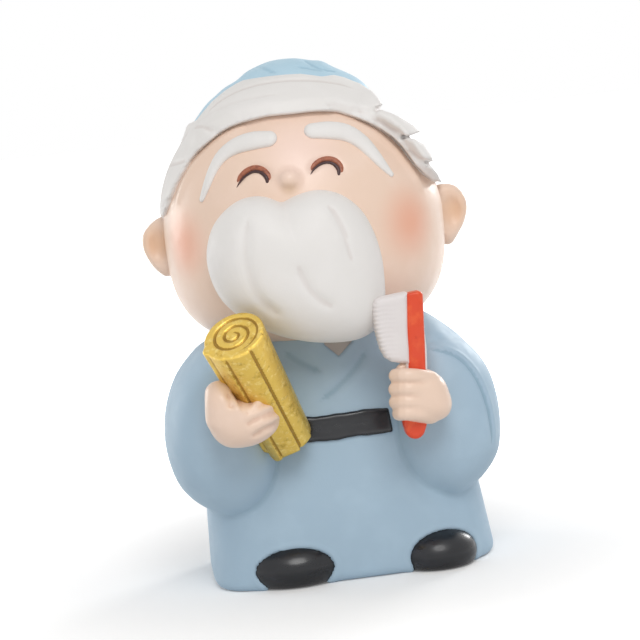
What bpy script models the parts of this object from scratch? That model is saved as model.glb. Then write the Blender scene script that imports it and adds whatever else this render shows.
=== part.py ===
"""Resin sage statue: a small cast figurine of an old man who holds a scroll and a toothbrush.

The real object is one solid casting, so the model is one closed solid. It stands on the floor at
z = 0, faces -Y, and has its origin in the middle of the flat underside. Each mass below, such as the
head or a sleeve, is a closed mesh of its own. One union joins them, and one cut engraves the lines
and levels the underside.
"""

import math

import bmesh
import bpy
from mathutils import Matrix, Vector

MM = 0.001

# Head: a ball that is squarer below its middle, turned a little to one side of the body
HEAD_WIDTH = 55.0 * MM
HEAD_DEPTH = 51.0 * MM
HEAD_ABOVE = 28.0 * MM
HEAD_BELOW = 23.0 * MM
HEAD_SHIFT = Vector((-1.9 * MM, 0.0, 0.0))
HEAD_TURN = math.radians(-9.3)
HEAD_IN_COLLAR = 0.5 * MM
CHEEK_POWER = 3.0
CROWN_POWER = 2.0

# Ears, nose, eyes and brows, with heights counted from the middle of the head
EAR_SIZE = Vector((9.2 * MM, 5.2 * MM, 11.0 * MM))
EAR_PROUD = 4.1 * MM
EAR_DROP = 1.4 * MM
EAR_DISH_SIZE = Vector((3.9 * MM, 2.4 * MM, 5.5 * MM))
EAR_DISH_OUT = 1.1 * MM
NOSE_WIDTH = 4.4 * MM
NOSE_PROUD = 1.4 * MM
NOSE_RISE = 9.6 * MM
EYE_ANGLE = math.radians(16.0)
EYE_HALF_ANGLE = math.radians(6.6)
EYE_RISE = 9.2 * MM
EYE_ARCH = 3.2 * MM
EYE_LINE = 1.3 * MM
EYE_STEPS = 6
BROW_ANGLES = [math.radians(a) for a in (6.5, 15.0, 24.0, 34.0, 43.0)]
BROW_RISES = [17.6 * MM, 18.6 * MM, 17.6 * MM, 13.4 * MM, 8.0 * MM]
BROW_THICKNESS = [4.4 * MM, 4.8 * MM, 4.4 * MM, 3.4 * MM, 2.0 * MM]

# Hair, a layer on the head that ends at the hairline, with locks combed back over the temples
HAIR_PROUD = 1.7 * MM
HAIR_EDGE = 3.2 * MM
HAIRLINE_ANGLES = [math.radians(a) for a in (0, 50, 85, 105, 150, 180)]
HAIRLINE_RISES = [20.5 * MM, 18.0 * MM, 6.0 * MM, -5.5 * MM, -15.0 * MM, -15.0 * MM]
LOCK_COUNT = 4
LOCK_THICKNESS = 4.4 * MM
LOCK_STEPS = 5
LOCK_START = math.radians(12)
LOCK_FAN = math.radians(22)
LOCK_SWEEP = math.radians(62)
LOCK_LIFT = 1.5 * MM
LOCK_RISE_START = 3.2 * MM
LOCK_RISE_END = 0.8 * MM
LOCK_SINK = 1.0 * MM

# Cloth wrap over the crown
WRAP_SIZE = Vector((48.0 * MM, 46.0 * MM, 52.4 * MM))
WRAP_BACK = 4.0 * MM
WRAP_RISE = 6.4 * MM
WRAP_FOLDS = 7
WRAP_FOLD_DEPTH = 0.5 * MM

# Beard: two moustache lobes over one round mass
BEARD_WIDTH = 33.5 * MM
BEARD_HEIGHT = 29.0 * MM
BEARD_DEPTH = 34.0 * MM
BEARD_OUT = 15.5 * MM
BEARD_DROP = 10.6 * MM
LOBE_SIZE = Vector((20.0 * MM, 24.0 * MM, 19.0 * MM))
LOBE_APART = 12.6 * MM
LOBE_RISE = 7.4 * MM
LOBE_OUT = 2.4 * MM

# Robe: a column of flattened rounds, wide at the floor and narrow at the neck
ROBE_HEIGHT = 45.5 * MM
ROBE_WIDTH = 56.4 * MM
ROBE_DEPTH = 39.0 * MM
ROBE_NECK_WIDTH = 34.0 * MM
ROBE_WAIST_WIDTH = 43.0 * MM
ROBE_WAIST_DEPTH = 35.0 * MM
ROBE_POWER = 2.5
HEM_POWER = 5.0
ROBE_IN_HEAD = 4.0 * MM
ROBE_IN_HEAD_WIDTH = 23.8 * MM
HEM_ROUND = 1.2 * MM
UNDERSIDE_TRIM = 3.0 * MM

# Shoulders, a broad round that carries the robe over into the sleeves
SHOULDER_SIZE = Vector((56.0 * MM, 31.0 * MM, 30.0 * MM))
SHOULDER_DROP = 14.0 * MM

# Belt round the waist
BELT_HEIGHT = 4.8 * MM
BELT_MIDDLE = 29.9 * MM
BELT_PROUD = 0.9 * MM
BELT_ROUND = 0.4 * MM
BELT_SINK = 0.3 * MM

# Collar and crossed lapels, as ridges on the chest. Each place is a distance from the middle and a
# distance under the neck, or over the belt for the foot
LAPEL_THICKNESS = 2.2 * MM
LAPEL_SINK = 0.5 * MM
LAPEL_STEPS = 6
LAPEL_OVER_TOP = (8.6 * MM, 1.2 * MM)
LAPEL_OVER_FOOT = (-7.4 * MM, 0.6 * MM)
LAPEL_UNDER_TOP = (-10.4 * MM, 0.6 * MM)
LAPEL_CROSSING = (-2.6 * MM, 6.5 * MM)
COLLAR_THICKNESS = 2.6 * MM
COLLAR_HALF = 5.5 * MM
COLLAR_POINT = (0.6 * MM, 3.4 * MM)
COLLAR_STEPS = 3

# Sleeves: two hanging bags
SLEEVE_SIZE = Vector((20.6 * MM, 34.0 * MM, 32.0 * MM))
SLEEVE_SPREAD = 45.2 * MM
SLEEVE_MIDDLE = 29.6 * MM
SLEEVE_FORWARD = 6.0 * MM
SLEEVE_POWER = 2.3

# Shoes, half under the hem
SHOE_SIZE = Vector((16.0 * MM, 14.0 * MM, 10.8 * MM))
SHOE_SPREAD = 28.4 * MM
SHOE_SHIFT = 1.9 * MM
SHOE_PROUD = 2.2 * MM
SHOE_MIDDLE = 2.4 * MM
SHOE_POWER = 2.6

# Fists, with four fingers and a thumb each
PALM_SIZE = Vector((10.6 * MM, 12.0 * MM, 12.6 * MM))
PALM_OUT = 1.0 * MM
PALM_BACK = 2.4 * MM
FINGER_THICKNESS = 3.7 * MM
FINGER_PITCH = 2.65 * MM
FINGER_SINK = 0.55 * MM
FINGER_COUNT = 4
FINGER_STEPS = 5
THUMB_THICKNESS = 4.3 * MM
THUMB_RISE = 6.1 * MM
THUMB_HEEL = Vector((2.4 * MM, -0.5 * MM, -3.6 * MM))
THUMB_TIP_IN = 0.6 * MM
THUMB_TIP_OUT = 0.62
THUMB_TIP_RISE = 1.0 * MM
FINGER_ROOT = math.radians(165)
SCROLL_WRAP = math.radians(92)
BRUSH_WRAP = math.radians(140)
GRIP_SPREAD = 27.6 * MM
GRIP_SHIFT = -0.6 * MM
GRIP_HEIGHT = 35.4 * MM
GRIP_OUT = 4.6 * MM

# Scroll: one sheet rolled up, held near its lower end and leaning out at the top
SCROLL_LENGTH = 28.4 * MM
SCROLL_DIAMETER = 12.4 * MM
SCROLL_SHEET = 0.7 * MM
SCROLL_BELOW_GRIP = 9.2 * MM
SCROLL_LEAN = Vector((-0.306, -0.51, 0.806))
SCROLL_TWIST = math.radians(-20)
SCROLL_TURNS = 2.5
SCROLL_GROOVE = 0.6 * MM
SCROLL_GROOVE_STEPS = 14
SCROLL_CORE = 0.8 * MM
SCROLL_OUTER_TURN = 1.2 * MM
SCROLL_RIM = 0.4 * MM

# Toothbrush, upright, with its bristles towards the beard
BRUSH_LENGTH = 28.0 * MM
BRUSH_WIDTH = 3.7 * MM
BRUSH_THICKNESS = 3.4 * MM
BRUSH_END_WIDTH = 4.8 * MM
BRUSH_END_RUN = 6.2 * MM
BRUSH_NECK_RUN = 3.4 * MM
BRUSH_ROUND = 1.2 * MM
BRUSH_POWER = 4.0
BRUSH_BELOW_GRIP = 8.2 * MM
BRUSH_LEAN = Vector((0.11, -0.03, 1.0))
BRISTLE_LENGTH = 5.6 * MM
BRISTLE_RUN = 11.4 * MM
BRISTLE_THICKNESS = 4.6 * MM
BRISTLE_FROM_TOP = 0.4 * MM
BRISTLE_SINK = 1.0 * MM
BRISTLE_ROUND = 0.6 * MM

RESIN_COLOUR = (0.40, 0.50, 0.56, 1.0)
RESIN_ROUGHNESS = 0.55

MASSES = "masses"
ENGRAVING = "engraving"


def clear_scene():
    for thing in list(bpy.data.objects):
        bpy.data.objects.remove(thing, do_unlink=True)
    for name in (MASSES, ENGRAVING):
        group = bpy.data.collections.new(name)
        bpy.context.scene.collection.children.link(group)


def hidden_object(name, bm, group):
    """A closed mesh that only shapes the statue."""
    bmesh.ops.recalc_face_normals(bm, faces=bm.faces)
    mesh = bpy.data.meshes.new(name)
    bm.to_mesh(mesh)
    bm.free()
    thing = bpy.data.objects.new(name, mesh)
    thing.hide_render = True
    thing.display_type = "WIRE"
    bpy.data.collections[group].objects.link(thing)
    return thing


def ball(name, segments, rings, place, group=MASSES):
    """A sphere whose points are moved by place, a function of the unit direction."""
    bm = bmesh.new()
    bmesh.ops.create_uvsphere(bm, u_segments=segments, v_segments=rings, radius=1.0)
    for v in bm.verts:
        v.co = place(v.co.copy())
    return hidden_object(name, bm, group)


def squared(value, power):
    """A cosine or sine bent from a round outline (power 2) to a squarer one."""
    return math.copysign(abs(value) ** (2.0 / power), value)


def egg(name, centre, size, segments=20, rings=12, power=2.0, group=MASSES):
    def place(d):
        flat = math.hypot(d.x, d.y)
        wide = squared(flat, power) / flat if flat > 1e-6 else 0.0
        x = d.x * wide * size.x / 2
        y = d.y * wide * size.y / 2
        return centre + Vector((x, y, squared(d.z, power) * size.z / 2))

    return ball(name, segments, rings, place, group)


def loft(name, rings, group=MASSES):
    """A closed skin over rings of as many points each, with a flat face at either end."""
    bm = bmesh.new()
    loops = [[bm.verts.new(p) for p in ring] for ring in rings]
    count = len(loops[0])
    for low, high in zip(loops, loops[1:]):
        for i in range(count):
            j = (i + 1) % count
            bm.faces.new((low[i], low[j], high[j], high[i]))
    bm.faces.new(list(reversed(loops[0])))
    bm.faces.new(loops[-1])
    return hidden_object(name, bm, group)


def tube(name, path, widths, sides=8, flat=1.0, facing=None, group=MASSES):
    """A round-ended tube through path. Facing is the side that flat thins it towards."""
    rings = []
    last = len(path) - 1
    for i, (point, width) in enumerate(zip(path, widths)):
        along = (path[min(i + 1, last)] - path[max(i - 1, 0)]).normalized()
        out = (facing(point) if facing else Vector((0, -1, 0.1))).normalized()
        side = along.cross(out).normalized()
        out = side.cross(along).normalized()
        ends = [(0.0, 1.0)]
        if i == 0:
            ends = [(-1.0, 0.15), (-0.75, 0.66), (0.0, 1.0)]
        if i == last:
            ends = [(0.0, 1.0), (0.75, 0.66), (1.0, 0.15)]
        for shift, share in ends:
            middle = point + along * (shift * width / 2)
            ring = []
            for k in range(sides):
                angle = 2 * math.pi * k / sides
                across = side * math.cos(angle) + out * (math.sin(angle) * flat)
                ring.append(middle + across * (share * width / 2))
            rings.append(ring)
    return loft(name, rings, group)


def head_centre():
    height = ROBE_HEIGHT - HEAD_IN_COLLAR + HEAD_BELOW
    return HEAD_SHIFT + Vector((0, 0, height))


def head_profile(rise):
    """How wide the head is at a height over its middle, as a share of its full width."""
    if rise < 0:
        reach, power = HEAD_BELOW, CHEEK_POWER
    else:
        reach, power = HEAD_ABOVE, CROWN_POWER
    return max(0.0, 1 - (abs(rise) / reach) ** power) ** (1 / power)


def on_head(angle, rise, proud=0.0):
    """A point on the head, angle round from the face and rise over the head's middle."""
    share = head_profile(rise)
    turn = angle + HEAD_TURN
    x = math.sin(turn) * (share * HEAD_WIDTH / 2 + proud)
    y = -math.cos(turn) * (share * HEAD_DEPTH / 2 + proud)
    return head_centre() + Vector((x, y, rise))


def away_from_head(point):
    return point - head_centre()


def head_place(extra):
    """Moves a unit direction to the head's surface, and out of it by extra(direction)."""

    def place(d):
        reach, power = (HEAD_BELOW, CHEEK_POWER) if d.z < 0 else (HEAD_ABOVE, CROWN_POWER)
        flat = math.hypot(d.x, d.y)
        wide = squared(flat, power) / flat if flat > 1e-6 else 0.0
        x = d.x * wide * HEAD_WIDTH / 2
        y = d.y * wide * HEAD_DEPTH / 2
        return head_centre() + Vector((x, y, squared(d.z, power) * reach)) + d * extra(d)

    return place


def make_head():
    ball("head", 36, 22, head_place(lambda d: 0.0))
    for side in (-1, 1):
        middle = on_head(math.radians(90 * side) - HEAD_TURN, -EAR_DROP)
        out = Vector((side * (EAR_PROUD - EAR_SIZE.x / 2), 0, 0))
        egg("ear", middle + out, EAR_SIZE, 14, 10)
        front = Vector((side * EAR_DISH_OUT, -EAR_SIZE.y / 2, 0))
        egg("ear_dish", middle + out + front, EAR_DISH_SIZE, 10, 8, group=ENGRAVING)
    nose = on_head(0, NOSE_RISE, NOSE_PROUD - NOSE_WIDTH / 2)
    egg("nose", nose, Vector((NOSE_WIDTH, NOSE_WIDTH, NOSE_WIDTH)), 12, 8)


def make_brows_and_eyes():
    for side in (-1, 1):
        path = [on_head(side * a, r) for a, r in zip(BROW_ANGLES, BROW_RISES)]
        tube("brow", path, BROW_THICKNESS, flat=0.7, facing=away_from_head)
        arc = []
        for step in range(EYE_STEPS + 1):
            share = 2 * step / EYE_STEPS - 1
            angle = side * EYE_ANGLE + share * EYE_HALF_ANGLE
            arc.append(on_head(angle, EYE_RISE + EYE_ARCH * (1 - share * share)))
        widths = [EYE_LINE] * len(arc)
        tube("eye_line", arc, widths, 6, facing=away_from_head, group=ENGRAVING)


def hairline_rise(angle):
    """Height of the hairline round the head: high in front, low at the nape."""
    turned = abs(math.atan2(math.sin(angle), math.cos(angle)))
    for k in range(len(HAIRLINE_ANGLES) - 1):
        low, high = HAIRLINE_ANGLES[k], HAIRLINE_ANGLES[k + 1]
        if turned <= high:
            share = (turned - low) / (high - low)
            share = 3 * share**2 - 2 * share**3
            return HAIRLINE_RISES[k] + (HAIRLINE_RISES[k + 1] - HAIRLINE_RISES[k]) * share
    return HAIRLINE_RISES[-1]


def hair_layer(d):
    """How far the hair stands out of the head in a direction, or lies under it outside the hairline."""
    reach, power = (HEAD_ABOVE, CROWN_POWER) if d.z > 0 else (HEAD_BELOW, CHEEK_POWER)
    rise = squared(d.z, power) * reach
    angle = math.atan2(d.x, -d.y) - HEAD_TURN
    share = (rise - hairline_rise(angle)) / HAIR_EDGE + 0.5
    return HAIR_PROUD * (2 * min(1.0, max(0.0, share)) - 1)


def lock_width(t):
    """A lock's width at a share t of its length: full before its middle, half as wide at its tip."""
    return LOCK_THICKNESS * (0.55 + 0.45 * math.sin(math.pi * t)) * (1 - 0.5 * t)


def make_hair():
    ball("hair", 44, 30, head_place(hair_layer))
    for side in (-1, 1):
        for row in range(LOCK_COUNT):
            share = row / (LOCK_COUNT - 1)
            path, widths = [], []
            for step in range(LOCK_STEPS + 1):
                t = step / LOCK_STEPS
                angle = side * (LOCK_START + LOCK_FAN * share + LOCK_SWEEP * t)
                over = (LOCK_RISE_START + (LOCK_RISE_END - LOCK_RISE_START) * t) * (1 - share)
                rise = hairline_rise(angle) + LOCK_LIFT + over
                path.append(on_head(angle, rise, HAIR_PROUD - LOCK_SINK))
                widths.append(lock_width(t))
            tube("lock", path, widths, flat=0.6, facing=away_from_head)


def make_wrap():
    centre = head_centre() + Vector((0, WRAP_BACK, WRAP_RISE))

    def place(d):
        fold = WRAP_FOLD_DEPTH * math.cos(WRAP_FOLDS * math.atan2(d.x, -d.y)) * (1 - d.z * d.z)
        x = d.x * (WRAP_SIZE.x / 2 + fold)
        y = d.y * (WRAP_SIZE.y / 2 + fold)
        return centre + Vector((x, y, d.z * WRAP_SIZE.z / 2))

    ball("wrap", 28, 16, place)


def make_beard():
    out = Vector((math.sin(HEAD_TURN), -math.cos(HEAD_TURN), 0))
    middle = head_centre() + out * BEARD_OUT + Vector((0, 0, -BEARD_DROP))
    egg("beard", middle, Vector((BEARD_WIDTH, BEARD_DEPTH, BEARD_HEIGHT)), 24, 16)
    for side in (-1, 1):
        lobe = middle + out * LOBE_OUT
        lobe += Vector((side * LOBE_APART / 2, side * LOBE_APART / 2 * math.tan(HEAD_TURN), LOBE_RISE))
        egg("moustache", lobe, LOBE_SIZE, 20, 14)


def robe_power(height):
    """How square the robe's outline is at a height: most at the hem, rounder from the waist up."""
    waist = min(1.0, max(0.0, height / BELT_MIDDLE))
    return HEM_POWER + (ROBE_POWER - HEM_POWER) * waist


def robe_section(height, grow=0.0, points=40):
    """The robe's outline at a height, which narrows from the hem to the neck."""
    power = robe_power(height)
    waist = min(1.0, max(0.0, height / BELT_MIDDLE))
    neck = min(1.0, max(0.0, (height - BELT_MIDDLE) / (ROBE_HEIGHT - BELT_MIDDLE)))
    lower = waist**3
    upper = neck * neck
    wide = ROBE_WIDTH + (ROBE_WAIST_WIDTH - ROBE_WIDTH) * lower
    wide += (ROBE_NECK_WIDTH - ROBE_WAIST_WIDTH) * upper
    deep = ROBE_DEPTH + (ROBE_WAIST_DEPTH - ROBE_DEPTH) * lower
    deep += (ROBE_NECK_WIDTH - ROBE_WAIST_DEPTH) * upper * 0.5
    ring = []
    for k in range(points):
        angle = 2 * math.pi * k / points
        x = squared(math.cos(angle), power) * (wide / 2 + grow)
        y = squared(math.sin(angle), power) * (deep / 2 + grow)
        ring.append(Vector((x, y, height)))
    return ring


def robe_front(height, x):
    """How far forward the robe's chest is at a height and distance from the middle."""
    ring = robe_section(height)
    half_width = max(p.x for p in ring)
    half_depth = max(p.y for p in ring)
    share = min(1.0, abs(x) / half_width)
    power = robe_power(height)
    return -half_depth * (1 - share**power) ** (1 / power)


def make_robe():
    heights = [k * ROBE_HEIGHT / 10 for k in range(1, 11)]
    rings = [robe_section(0.0, -HEM_ROUND)]
    for p in rings[0]:
        p.z = -UNDERSIDE_TRIM
    rings.append([Vector((p.x, p.y, 0.0)) for p in robe_section(0.0, -HEM_ROUND / 2)])
    rings.append([Vector((p.x, p.y, HEM_ROUND)) for p in robe_section(0.0)])
    rings += [robe_section(h) for h in heights]
    narrow = ROBE_IN_HEAD_WIDTH / ROBE_NECK_WIDTH
    inside_head = [Vector((p.x * narrow, p.y * narrow, ROBE_HEIGHT + ROBE_IN_HEAD)) for p in rings[-1]]
    loft("robe", rings + [inside_head])
    shoulders = Vector((0, 0, ROBE_HEIGHT - SHOULDER_DROP))
    egg("shoulders", shoulders, SHOULDER_SIZE, 28, 16)
    make_belt()


def make_belt():
    half = BELT_HEIGHT / 2
    profile = (
        (-half, -BELT_SINK),
        (-half + BELT_ROUND, BELT_PROUD - BELT_ROUND / 2),
        (-half + 3 * BELT_ROUND, BELT_PROUD),
        (half - 3 * BELT_ROUND, BELT_PROUD),
        (half - BELT_ROUND, BELT_PROUD - BELT_ROUND / 2),
        (half, -BELT_SINK),
    )
    rings = []
    for rise, proud in profile:
        flat = robe_section(BELT_MIDDLE, proud)
        rings.append([Vector((p.x, p.y, BELT_MIDDLE + rise)) for p in flat])
    loft("belt", rings)


def chest_path(start, end, steps):
    """Points on the chest between two places given as distance from the middle and height."""
    path = []
    for step in range(steps + 1):
        t = step / steps
        x = start[0] + (end[0] - start[0]) * t
        z = start[1] + (end[1] - start[1]) * t
        path.append(Vector((x, robe_front(z, x) + LAPEL_SINK, z)))
    return path


def under_neck(place):
    return (place[0], ROBE_HEIGHT - place[1])


def make_collar():
    foot = (LAPEL_OVER_FOOT[0], BELT_MIDDLE + BELT_HEIGHT / 2 + LAPEL_OVER_FOOT[1])
    over = chest_path(under_neck(LAPEL_OVER_TOP), foot, LAPEL_STEPS)
    under = chest_path(under_neck(LAPEL_UNDER_TOP), under_neck(LAPEL_CROSSING), LAPEL_STEPS)
    for name, path in (("lapel_over", over), ("lapel_under", under)):
        tube(name, path, [LAPEL_THICKNESS] * len(path), flat=0.5)
    for side in (-1, 1):
        path = chest_path((side * COLLAR_HALF, ROBE_HEIGHT), under_neck(COLLAR_POINT), COLLAR_STEPS)
        tube("collar", path, [COLLAR_THICKNESS] * len(path), flat=0.8)


def sleeve_centre(side):
    return Vector((side * SLEEVE_SPREAD / 2, -SLEEVE_FORWARD, SLEEVE_MIDDLE))


def make_sleeves():
    for side in (-1, 1):
        egg("sleeve", sleeve_centre(side), SLEEVE_SIZE, 26, 18, SLEEVE_POWER)


def make_shoes():
    for side in (-1, 1):
        x = side * SHOE_SPREAD / 2 + SHOE_SHIFT
        y = robe_front(0.0, x) - SHOE_PROUD + SHOE_SIZE.y / 2
        egg("shoe", Vector((x, y, SHOE_MIDDLE)), SHOE_SIZE, 20, 12, SHOE_POWER)


def grip(side):
    """The middle of a fist, in front of its sleeve's mouth."""
    y = sleeve_centre(side).y - SLEEVE_SIZE.y / 2 - GRIP_OUT
    return Vector((side * GRIP_SPREAD / 2 + GRIP_SHIFT, y, GRIP_HEIGHT))


def make_fist(side, held_radius, axis, wrap):
    """Palm beside what is held, fingers round its front by the angle wrap, and a thumb on top."""
    middle = grip(side)
    egg("palm", middle + Vector((side * (held_radius + PALM_OUT), PALM_BACK, 0)), PALM_SIZE, 16, 12)
    reach = held_radius - FINGER_SINK
    for k in range(FINGER_COUNT):
        height = ((FINGER_COUNT - 1) / 2 - k) * FINGER_PITCH
        centre = middle + axis * (height / axis.z)
        path = []
        for step in range(FINGER_STEPS + 1):
            turn = FINGER_ROOT - wrap * step / FINGER_STEPS
            x = -side * math.cos(turn) * reach
            path.append(centre + Vector((x, -math.sin(turn) * reach, 0)))
        tube("finger", path, [FINGER_THICKNESS] * len(path), facing=lambda p: Vector((0, 0, 1)))
    top = middle + axis * (THUMB_RISE / axis.z)
    heel = top + Vector((side * (held_radius + THUMB_HEEL.x), THUMB_HEEL.y, THUMB_HEEL.z))
    tip = Vector((side * (held_radius - THUMB_TIP_IN), -held_radius * THUMB_TIP_OUT, THUMB_TIP_RISE))
    path = [heel, (heel + top + tip) / 2, top + tip]
    tube("thumb", path, [THUMB_THICKNESS] * len(path))


def along_axis(base, axis, twist):
    """A frame whose Z runs along an axis."""
    turn = Vector((0, 0, 1)).rotation_difference(axis).to_matrix().to_4x4()
    return Matrix.Translation(base) @ turn @ Matrix.Rotation(twist, 4, "Z")


def roll_section(share, height, points=32):
    """A rolled sheet's outline, whose outer edge makes a step of one thickness."""
    ring = []
    for k in range(points):
        angle = 2 * math.pi * k / (points - 1)
        radius = (SCROLL_DIAMETER / 2 - SCROLL_SHEET * k / (points - 1)) * share
        ring.append(Vector((radius * math.cos(angle), radius * math.sin(angle), height)))
    return ring


def coil_groove(frame, end):
    """A spiral cut in the roll's end, from its core out to the outer turn."""
    rings = []
    steps = int(SCROLL_TURNS * SCROLL_GROOVE_STEPS)
    outer = SCROLL_DIAMETER / 2 - SCROLL_OUTER_TURN
    for step in range(steps + 1):
        t = step / steps
        angle = 2 * math.pi * SCROLL_TURNS * t
        radius = SCROLL_CORE + (outer - SCROLL_CORE) * t
        ring = []
        for across, up in ((-1, -1), (1, -1), (1, 1), (-1, 1)):
            r = radius + across * SCROLL_GROOVE / 2
            z = end + up * SCROLL_GROOVE
            ring.append(frame @ Vector((r * math.cos(angle), r * math.sin(angle), z)))
        rings.append(ring)
    loft("scroll_groove", rings, ENGRAVING)


def make_scroll():
    axis = SCROLL_LEAN.normalized()
    base = grip(-1) - axis * SCROLL_BELOW_GRIP
    frame = along_axis(base, axis, SCROLL_TWIST)
    drawn_in = 1 - SCROLL_RIM / (SCROLL_DIAMETER / 2)
    stations = (
        (drawn_in, 0.0),
        (1.0, SCROLL_RIM),
        (1.0, SCROLL_LENGTH - SCROLL_RIM),
        (drawn_in, SCROLL_LENGTH),
    )
    loft("scroll", [[frame @ p for p in roll_section(s, h)] for s, h in stations])
    for end in (0.0, SCROLL_LENGTH):
        coil_groove(frame, end)


def make_toothbrush():
    axis = BRUSH_LEAN.normalized()
    base = grip(1) - axis * BRUSH_BELOW_GRIP
    frame = along_axis(base, axis, 0.0)
    stations = (
        (0.0, BRUSH_END_WIDTH - BRUSH_ROUND),
        (BRUSH_ROUND, BRUSH_END_WIDTH),
        (BRUSH_END_RUN, BRUSH_END_WIDTH),
        (BRUSH_END_RUN + BRUSH_NECK_RUN, BRUSH_WIDTH),
        (BRUSH_LENGTH - BRUSH_ROUND, BRUSH_WIDTH),
        (BRUSH_LENGTH, BRUSH_WIDTH - BRUSH_ROUND),
    )
    loft("brush_handle", [[frame @ p for p in brush_section(w, h)] for h, w in stations])
    make_bristles(frame)


def brush_section(width, height, points=16):
    ring = []
    for k in range(points):
        angle = 2 * math.pi * k / points
        x = squared(math.cos(angle), BRUSH_POWER) * width / 2
        y = squared(math.sin(angle), BRUSH_POWER) * BRUSH_THICKNESS / 2
        ring.append(Vector((x, y, height)))
    return ring


def make_bristles(frame):
    """The tuft, as a block from inside the handle to the bristles' ends."""
    top = BRUSH_LENGTH - BRISTLE_FROM_TOP
    low = top - BRISTLE_RUN
    near = -BRUSH_WIDTH / 2 + BRISTLE_SINK
    rings = []
    for height, tuck in (
        (low, BRISTLE_ROUND),
        (low + BRISTLE_ROUND, 0.0),
        (top - BRISTLE_ROUND, 0.0),
        (top, BRISTLE_ROUND),
    ):
        far = -BRUSH_WIDTH / 2 - BRISTLE_LENGTH + tuck
        half = BRISTLE_THICKNESS / 2 - tuck
        corners = ((near, -half), (near, half), (far, half), (far, -half))
        rings.append([frame @ Vector((x, y, height)) for x, y in corners])
    loft("bristles", rings)


def make_underside_cut():
    """The block under the floor that levels the robe and the shoes in one plane."""
    reach = ROBE_WIDTH
    corners = ((-reach, -reach), (reach, -reach), (reach, reach), (-reach, reach))
    depths = (-SHOE_SIZE.z, 0.0)
    loft("underside", [[Vector((x, y, z)) for x, y in corners] for z in depths], ENGRAVING)


def resin():
    material = bpy.data.materials.new("painted_resin")
    material.use_nodes = True
    shader = material.node_tree.nodes["Principled BSDF"]
    shader.inputs["Base Color"].default_value = RESIN_COLOUR
    shader.inputs["Roughness"].default_value = RESIN_ROUGHNESS
    shader.inputs["Metallic"].default_value = 0.0
    return material


def make_statue():
    """Joins every mass to the robe, then cuts the engraved lines and the underside."""
    robe = bpy.data.objects["robe"]
    bpy.data.collections[MASSES].objects.unlink(robe)
    bpy.context.scene.collection.objects.link(robe)
    robe.name = "statue"
    robe.data.name = "statue"
    robe.hide_render = False
    robe.display_type = "TEXTURED"
    for name, operation in ((MASSES, "UNION"), (ENGRAVING, "DIFFERENCE")):
        step = robe.modifiers.new(name, "BOOLEAN")
        step.operation = operation
        step.operand_type = "COLLECTION"
        step.collection = bpy.data.collections[name]
        step.solver = "EXACT"
        step.use_self = True
    robe.data.materials.append(resin())
    robe.data.shade_smooth()
    robe.data.set_sharp_from_angle(angle=math.radians(40))


clear_scene()
make_head()
make_brows_and_eyes()
make_hair()
make_wrap()
make_beard()
make_robe()
make_collar()
make_sleeves()
make_shoes()
make_fist(-1, SCROLL_DIAMETER / 2, SCROLL_LEAN.normalized(), SCROLL_WRAP)
make_fist(1, BRUSH_END_WIDTH / 2, BRUSH_LEAN.normalized(), BRUSH_WRAP)
make_scroll()
make_toothbrush()
make_underside_cut()
make_statue()
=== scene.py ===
"""Looks of the resin sage statue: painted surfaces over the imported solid.

Each painted area is a closed mesh of its own, in the place that the casting has for it. Sizes are
millimetres of the statue, +Z up and -Y the front. Places that were read from the photograph are pixels
of its 640 by 640 frame, and are turned into millimetres through the camera below.
"""
import math

import bpy
import numpy as np
from mathutils import Matrix, Vector


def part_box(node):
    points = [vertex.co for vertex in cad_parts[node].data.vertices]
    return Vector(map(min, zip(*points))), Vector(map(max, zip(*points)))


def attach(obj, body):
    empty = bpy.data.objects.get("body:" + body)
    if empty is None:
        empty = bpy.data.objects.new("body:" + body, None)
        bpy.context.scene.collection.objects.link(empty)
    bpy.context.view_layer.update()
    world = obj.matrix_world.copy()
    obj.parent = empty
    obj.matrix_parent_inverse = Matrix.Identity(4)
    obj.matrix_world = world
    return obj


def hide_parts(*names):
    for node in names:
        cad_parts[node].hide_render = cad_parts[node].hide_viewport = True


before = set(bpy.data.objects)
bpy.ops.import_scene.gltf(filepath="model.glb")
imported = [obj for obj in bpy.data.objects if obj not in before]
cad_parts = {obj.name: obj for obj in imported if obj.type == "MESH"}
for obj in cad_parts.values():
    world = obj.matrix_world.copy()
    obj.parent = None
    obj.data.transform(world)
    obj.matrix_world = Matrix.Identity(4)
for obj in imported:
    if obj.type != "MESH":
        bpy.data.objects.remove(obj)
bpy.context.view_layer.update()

# Scale from design millimetres to the frame's metres
DESIGN_HEIGHT = 100.6
node_low, node_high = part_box("statue")
METRES = (node_high[2] - node_low[2]) / DESIGN_HEIGHT
STEP = 1.0

# Camera, as the photograph was taken
PHOTO_PIXELS = 640
LENS_MM = 120
SENSOR_MM = 36
CAMERA_DISTANCE = 427.0
CAMERA_AZIMUTH = math.radians(-5.0)
CAMERA_ELEVATION = math.radians(6.0)
CAMERA_ROLL = math.radians(6.3)
ORIGIN_PIXEL = np.array([350.0, 559.0])

# Head, the ball that everything above the collar sits on
HEAD_CENTRE = np.array([-1.4, 0.0, 68.0])
HEAD_LEFT, HEAD_RIGHT, HEAD_HALF_DEPTH = 27.9, 27.0, 25.5
HEAD_ABOVE, HEAD_BELOW = 28.0, 23.0
HEAD_POWER_LEFT, HEAD_POWER_RIGHT, HEAD_POWER_BELOW = 2.0, 1.72, 3.0

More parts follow.
